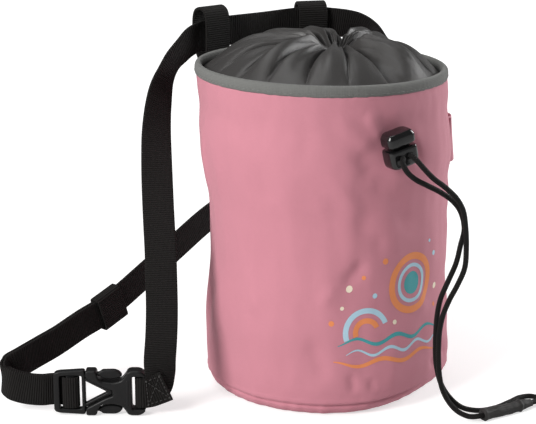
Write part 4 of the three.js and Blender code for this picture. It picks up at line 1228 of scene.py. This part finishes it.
def strandLine(side, points, sleeveSide):
    def inLock(out):
        return onLock(side * lock["holeSpacing"] / 2, lock["holeHeight"], out)

    def atSleeve(gap):
        return sleeveMiddle + sleeveAlong * sleeveSide * (sleeve["length"] / 2 + gap)

    route = [inLock(0), inLock(lock["depth"] * 0.5), inLock(lock["depth"] + 0.9)]
    route += [Vector(p) for p in points] + [atSleeve(cordWidth), atSleeve(-1.0)]
    return curveThrough(route, cordSteps)


def buildCord(name, side, points, sleeveSide):
    line = strandLine(side, points, sleeveSide)
    item = tube(name, line, lambda share, angle: cordWidth / 2, blackCord)
    return item, line


cordLeft, leftLine = buildCord("drawcordLeft", -1, leftStrand, 1)
cordRight, rightLine = buildCord("drawcordRight", 1, rightStrand, -1)


def sleeveRadius(share, angle):
    soft = noise.noise(Vector((share * 7, math.cos(angle) * 0.8, math.sin(angle) * 0.8)))
    fold = 0.12 * math.sin(angle * 5 + share * 6)
    ends = 0.5 * bell(share, 0.06) - 0.95 * smoothstep(share, 0.74, 1.0)
    ridge = 0.4 * bell(share - 0.74, 0.022) - 0.2 * bell(share - 0.79, 0.03)
    return sleeve["width"] / 2 * (1.05 + 0.12 * soft) + ends + ridge + fold - 0.1


def buildSleeve():
    half = sleeveAlong * sleeve["length"] / 2
    line = [sleeveMiddle + half * (i / 40 - 1) for i in range(81)]
    item = tube("cordSleeve", line, sleeveRadius, sleeveCloth, sides=28)
    for vertex in item.data.vertices:
        vertex.co.z = max(vertex.co.z, 0.0001)
    return item


cordSleeve = buildSleeve()
print("cord", round(lineLength(leftLine)), "and", round(lineLength(rightLine)), "mm")


# A printed design on the lower front: rings, waves and dots, each laid on the cloth as a thin film
printed = {"lift": 0.07, "grain": 1.1}
inks = {
    "orangeInk": (0.80, 0.27, 0.10), "skyInk": (0.42, 0.62, 0.74), "tealInk": (0.06, 0.33, 0.36),
    "creamInk": (0.86, 0.76, 0.60),
}


inkLook = {
    "contrast": 0.09, "thread": 0.00045, "relief": 0.00008, "cloud": 0.18, "cloudScale": 420.0,
    "crease": 0.0005, "creaseScale": 38.0, "roughness": 0.6, "sheen": 0.05, "sheenTint": white,
    "specular": 0.3,
}


def onCloth(arc, height, lift):
    turn = math.degrees(arc / bag["rim"])
    here = clothPoint(turn, height)
    aside = clothPoint(turn + 0.4, height) - clothPoint(turn - 0.4, height)
    above = clothPoint(turn, height + 0.4) - clothPoint(turn, height - 0.4)
    return here + aside.cross(above).normalized() * lift


# Rows of arc and height on the wall become one thin printed shape
def film(name, rows, ink, lift=printed["lift"]):
    verts, faces = [], []
    count = len(rows[0])
    for row in rows:
        verts += [onCloth(arc, height, lift) * mm for arc, height in row]
    for r in range(len(rows) - 1):
        for i in range(count - 1):
            a = r * count + i
            faces.append((a, a + 1, a + count + 1, a + count))
    uvs = []
    flat = [point for row in rows for point in row]
    for face in faces:
        uvs += [(flat[i][0] * mm, flat[i][1] * mm) for i in face]
    item = meshPiece(name, verts, faces, ink, uvs)
    centre = sum((Vector(v) for v in verts), Vector()) / len(verts)
    normal = sum((p.normal for p in item.data.polygons), Vector())
    if normal.dot(Vector((centre.x, centre.y, 0))) < 0:
        item.data.flip_normals()
    return item


def ringRows(arc, height, inner, outer, fromAngle=0, toAngle=360):
    steps = max(8, int((toAngle - fromAngle) / 360 * outer * 6 / printed["grain"]))
    across = max(2, int((outer - inner) / printed["grain"]) + 1)
    angles = [math.radians(lerp(fromAngle, toAngle, i / steps)) for i in range(steps + 1)]
    radii = [lerp(inner, outer, j / across) for j in range(across + 1)]
    return [[(arc + radius * math.cos(angle), height + radius * math.sin(angle))
             for angle in angles] for radius in radii]


def waveRows(fromArc, toArc, height, rise, length, width, phase):
    steps = int((toArc - fromArc) / 0.9)
    rows = []
    for side in (-1, 0, 1):
        row = []
        for i in range(steps + 1):
            arc = lerp(fromArc, toArc, i / steps)
            taper = math.sin(math.pi * clamp(i / steps, 0.02, 0.98)) ** 0.5
            middle = height + rise * math.sin(arc / length * 2 * math.pi + phase)
            row.append((arc, middle + side * width / 2 * taper))
        rows.append(row)
    return rows


arcs = [  # arc and height of the middle, inner and outer radius, start and end angle, ink
    ("ringOuter", 14, 61, 11.2, 14.6, 0, 360, "orangeInk"),
    ("ringMiddle", 14, 61, 7.6, 9.4, 0, 360, "skyInk"),
    ("ringHeart", 14, 61, 0.05, 5.4, 0, 360, "tealInk"),
    ("arcLow", -12, 41, 9.0, 11.6, 20, 200, "skyInk"),
    ("arcHeart", -12, 41, 4.2, 6.8, 20, 200, "orangeInk"),
]
waves = [  # start and end arc, height, rise, length, width, phase, ink
    (-26, 34, 36.5, 1.7, 21, 2.0, 0.4, "tealInk"), (-22, 36, 31.0, 1.6, 17, 1.6, 1.5, "skyInk"),
    (-28, 30, 26.0, 1.4, 24, 2.2, 2.6, "orangeInk"),
]
dots = [  # arc, height, radius
    (-21, 62, 1.7), (-14, 67, 1.1), (-8, 58, 1.3), (-24, 53, 1.0), (-3, 74, 1.6), (31, 72, 1.3),
    (34, 55, 1.6), (33, 46, 1.1), (27, 79, 0.9), (3, 44, 1.2), (-29, 46, 1.4),
]
dotInks = ("creamInk", "orangeInk", "skyInk")


def buildPrint():  # waves that cross a ring lie a little higher than it
    ink = {name: clothMaterial(name, {**inkLook, "colour": inks[name]}) for name in inks}
    films = [film(name, ringRows(*sizes), ink[inkName]) for name, *sizes, inkName in arcs]
    for i, (*sizes, inkName) in enumerate(waves):
        films.append(film(f"wave{i}", waveRows(*sizes), ink[inkName],
                          printed["lift"] * (1 + 0.15 * i)))
    for i, (arc, height, radius) in enumerate(dots):
        films.append(film(f"dot{i}", ringRows(arc, height, 0.05, radius),
                          ink[dotInks[i % len(dotInks)]]))
    return joinPieces("printedDesign", films)


printedDesign = buildPrint()
print("print", len(printedDesign.data.polygons), "faces")


# Stitches: one node tree lays short rounded threads along any path
def stitchTree():
    tree = bpy.data.node_groups.new("stitchRow", "GeometryNodeTree")
    face = tree.interface
    face.new_socket("Path", in_out="INPUT", socket_type="NodeSocketGeometry")
    for label, value in (("Pitch", 0.0026), ("Length", 0.0019), ("Width", 0.0004)):
        socket = face.new_socket(label, in_out="INPUT", socket_type="NodeSocketFloat")
        socket.default_value = value
    face.new_socket("Thread", in_out="INPUT", socket_type="NodeSocketMaterial")
    face.new_socket("Stitches", in_out="OUTPUT", socket_type="NodeSocketGeometry")
    given = tree.nodes.new("NodeGroupInput").outputs
    curve = addNode(tree, "GeometryNodeMeshToCurve", {0: given["Path"]})
    spaced = addNode(tree, "GeometryNodeResampleCurve",
                     {"Curve": curve.outputs[0], "Length": given["Pitch"]}, mode="LENGTH")
    tangent = addNode(tree, "GeometryNodeInputTangent")
    aim = addNode(tree, "FunctionNodeAlignRotationToVector", {"Vector": tangent.outputs[0]},
                  axis="X")
    bead = addNode(tree, "GeometryNodeMeshUVSphere", {"Segments": 8, "Rings": 5, "Radius": 0.5})
    size = addNode(tree, "ShaderNodeCombineXYZ",
                   {0: given["Length"], 1: given["Width"], 2: given["Width"]})
    place = addNode(tree, "GeometryNodeInstanceOnPoints", {
        "Points": spaced.outputs[0], "Instance": bead.outputs["Mesh"],
        "Rotation": aim.outputs[0], "Scale": size.outputs[0]})
    real = addNode(tree, "GeometryNodeRealizeInstances", {0: place.outputs[0]})
    soft = addNode(tree, "GeometryNodeSetShadeSmooth", {0: real.outputs[0]})
    paint = addNode(tree, "GeometryNodeSetMaterial",
                    {0: soft.outputs[0], "Material": given["Thread"]})
    tree.links.new(paint.outputs[0], tree.nodes.new("NodeGroupOutput").inputs[0])
    return tree


stitchRow = stitchTree()


def stitches(name, paths, thread, pitch, length, width):  # paths are lists of points in mm
    verts, edges = [], []
    for path in paths:
        first = len(verts)
        verts += [tuple(p * mm) for p in path]
        edges += [(first + i, first + i + 1) for i in range(len(path) - 1)]
    mesh = bpy.data.meshes.new(name)
    mesh.from_pydata(verts, edges, [])
    item = bpy.data.objects.new(name, mesh)
    scene.collection.objects.link(item)
    sewn = item.modifiers.new("stitches", "NODES")
    sewn.node_group = stitchRow
    values = {"Pitch": pitch * mm, "Length": length * mm, "Width": width * mm, "Thread": thread}
    for socket in stitchRow.interface.items_tree:
        if socket.item_type == "SOCKET" and socket.in_out == "INPUT" and socket.name in values:
            sewn[socket.identifier] = values[socket.name]
    finishModifiers(item)
    if not item.data.uv_layers:
        item.data.uv_layers.new(name="UVMap")
    return item


def onFrame(frame, side, front):
    return frame["middle"] + frame["wide"] * side + frame["thick"] * front


def crossBox(frames, first, last, front, half):  # a sewn box with a cross on a length of webbing
    corners = [onFrame(frames[i], side, front) for i in (first, last) for side in (-half, half)]
    a, b, c, d = corners
    return [[a, b], [b, d], [d, c], [c, a], [a, d], [b, c]]


seams = {  # pitch, length and width of the stitches in mm
    "rim": (2.6, 1.9, 0.34), "brush": (2.3, 1.6, 0.36), "tack": (2.1, 1.5, 0.36),
    "flap": (1.9, 1.4, 0.36),
}
seamRows = {"brushSide": 12.6, "tackHalf": 6.3, "flapHalf": 5.8, "tacksUp": (2.0, 5.0)}


def buildStitches():
    rimPath = [rimPoint(turn, -binding["stitchOut"], binding["stitchHigh"])
               for turn in range(0, 361, 2)]
    rim = stitches("rimStitches", [rimPath], greyThread, *seams["rim"])
    brushPaths = []
    for side in (-seamRows["brushSide"], seamRows["brushSide"]):
        turn = brushLoop["turn"] + math.degrees(side / bag["rim"])
        height = brushLoop["height"] * bag["height"]
        lift = bag["clearance"] + brushLoop["thickness"] + 0.05
        brushPaths.append([leaned(wallPoint(turn, height + rise, -lift))
                           for rise in range(-11, 12, 2)])
    brush = stitches("brushLoopStitches", brushPaths, pinkThread, *seams["brush"])
    tacks = []
    for side in (-1, 1):
        reach = outward(side * webbing["loopFacing"]).cross(up) * seamRows["tackHalf"]
        for low in seamRows["tacksUp"]:
            foot = bag["height"] - webbing["loopLeg"] + low
            middle = onBeltLoop(side, lap + webbing["thickness"] / 2 + 0.05, foot)
            tacks.append([middle - reach, middle + reach])
    loopTacks = stitches("loopTacks", tacks, blackThread, *seams["tack"])
    flapFrames = belt[:len(sewnFlap) * webbing["perSpan"]]
    faceOut = webbing["thickness"] / 2 + 0.06
    flapPaths = []
    for front in (faceOut, -faceOut):
        flapPaths += crossBox(flapFrames, 2, 22, front, seamRows["flapHalf"])
    flapStitches = stitches("flapStitches", flapPaths, blackThread, *seams["flap"])
    return [rim, brush, loopTacks, flapStitches]


rimStitches, brushStitches, loopTacks, flapStitches = buildStitches()
print("stitches made")


# Floor and light
stageLook = {"size": 4.0, "colour": (0.58, 0.58, 0.576), "roughness": 0.8,
             "seenGlow": 0.6, "farGlow": 0.95, "bounceGlow": 0.15, "fadeFrom": 0.35,
             "fadeTo": 1.1, "worldLight": 0.14, "lightsAim": (0, 0, 0.08)}


def buildFloor():  # it glows more to the camera, and more far away, so that it ends in white
    half = stageLook["size"]
    material, tree, shader = nodesOf("paleFloor")
    where = objectSpace(tree)
    reach = addNode(tree, "ShaderNodeVectorMath", {0: where}, operation="LENGTH")
    seen = mapped(tree, reach.outputs["Value"], stageLook["seenGlow"], stageLook["farGlow"],
                  **{"From Min": stageLook["fadeFrom"], "From Max": stageLook["fadeTo"]})
    rays = addNode(tree, "ShaderNodeLightPath")
    glow = addNode(tree, "ShaderNodeMix", {
        "Factor": rays.outputs["Is Camera Ray"], "A": stageLook["bounceGlow"], "B": seen})
    fillSockets(tree, shader, {
        "Base Color": shades(tree, clouds(tree, where, 3.0, 2.0), stageLook["colour"], 0.99, 1.01),
        "Roughness": stageLook["roughness"], "Specular IOR Level": 0.1, "Emission Color": white,
        "Emission Strength": glow.outputs["Result"]})
    corners = [(-half, -half, 0), (half, -half, 0), (half, half, 0), (-half, half, 0)]
    return meshPiece("floor", corners, [(0, 1, 2, 3)], material, smooth=False)


floor = buildFloor()

lights = [  # name, place in metres, size, watts and colour
    ("keyLight", (-1.15, -0.3, 0.75), 0.5, 18.5, (1.0, 0.99, 0.975)),
    ("rimLight", (1.19, -0.1, 0.5), 0.5, 11.5, (1.0, 1.0, 1.0)),
    ("topLight", (-0.1, 0.25, 1.3), 0.8, 5.6, (1.0, 1.0, 1.0)),
]


def addLights():
    for name, place, size, watts, colour in lights:
        data = bpy.data.lights.new(name, "AREA")
        data.size = size
        data.energy = watts
        data.color = colour
        item = bpy.data.objects.new(name, data)
        item.location = place
        aim = Vector(stageLook["lightsAim"]) - Vector(place)
        item.rotation_euler = aim.to_track_quat("-Z", "Y").to_euler()
        scene.collection.objects.link(item)
    world = bpy.data.worlds.new("paleWorld")
    world.use_nodes = True
    tree = world.node_tree
    soft = tree.nodes["Background"]
    fillSockets(tree, soft, {"Color": white, "Strength": stageLook["worldLight"]})
    pale = addNode(tree, "ShaderNodeBackground", {"Color": white})
    rays = addNode(tree, "ShaderNodeLightPath")
    blend = addNode(tree, "ShaderNodeMixShader", {
        0: rays.outputs["Is Camera Ray"], 1: soft.outputs[0], 2: pale.outputs[0]})
    tree.links.new(blend.outputs[0], tree.nodes["World Output"].inputs[0])
    scene.world = world
    scene.view_settings.view_transform = "Standard"


addLights()
print("lights placed")

# What each piece stands for and moves with
stands = [
    (bagCloth, "shell", ["bag_shell"]), (rimBinding, "binding", ["rim_binding"]),
    (closureCloth, "closure", ["closure"]), (beltLoopLeft, "webbing", ["belt_loop_left"]),
    (beltLoopRight, "webbing", ["belt_loop_right"]), (brushBand, "shell", ["brush_loop"]),
    (waistBelt, "webbing", ["waist_belt"]), (beltKeeper, "webbing", ["belt_keeper"]),
    (buckleTongue, "plastic", ["buckle_tongue"]), (buckleSocket, "plastic", ["buckle_socket"]),
    (lockBody, "plastic", ["cord_lock_body"]), (cordLeft, "cord", ["drawcord_left"]),
    (cordRight, "cord", ["drawcord_right"]), (cordSleeve, "cord", ["cord_sleeve"]),
]
for piece, slot, nodes in stands:
    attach(piece, "bag")
    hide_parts(*nodes)
for piece, slot in ((printedDesign, "shell"), (rimStitches, "binding"), (brushStitches, "shell"),
                    (loopTacks, "webbing"), (flapStitches, "webbing")):
    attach(piece, "bag")
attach(lockButton, "lock_button")
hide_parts("cord_lock_button")
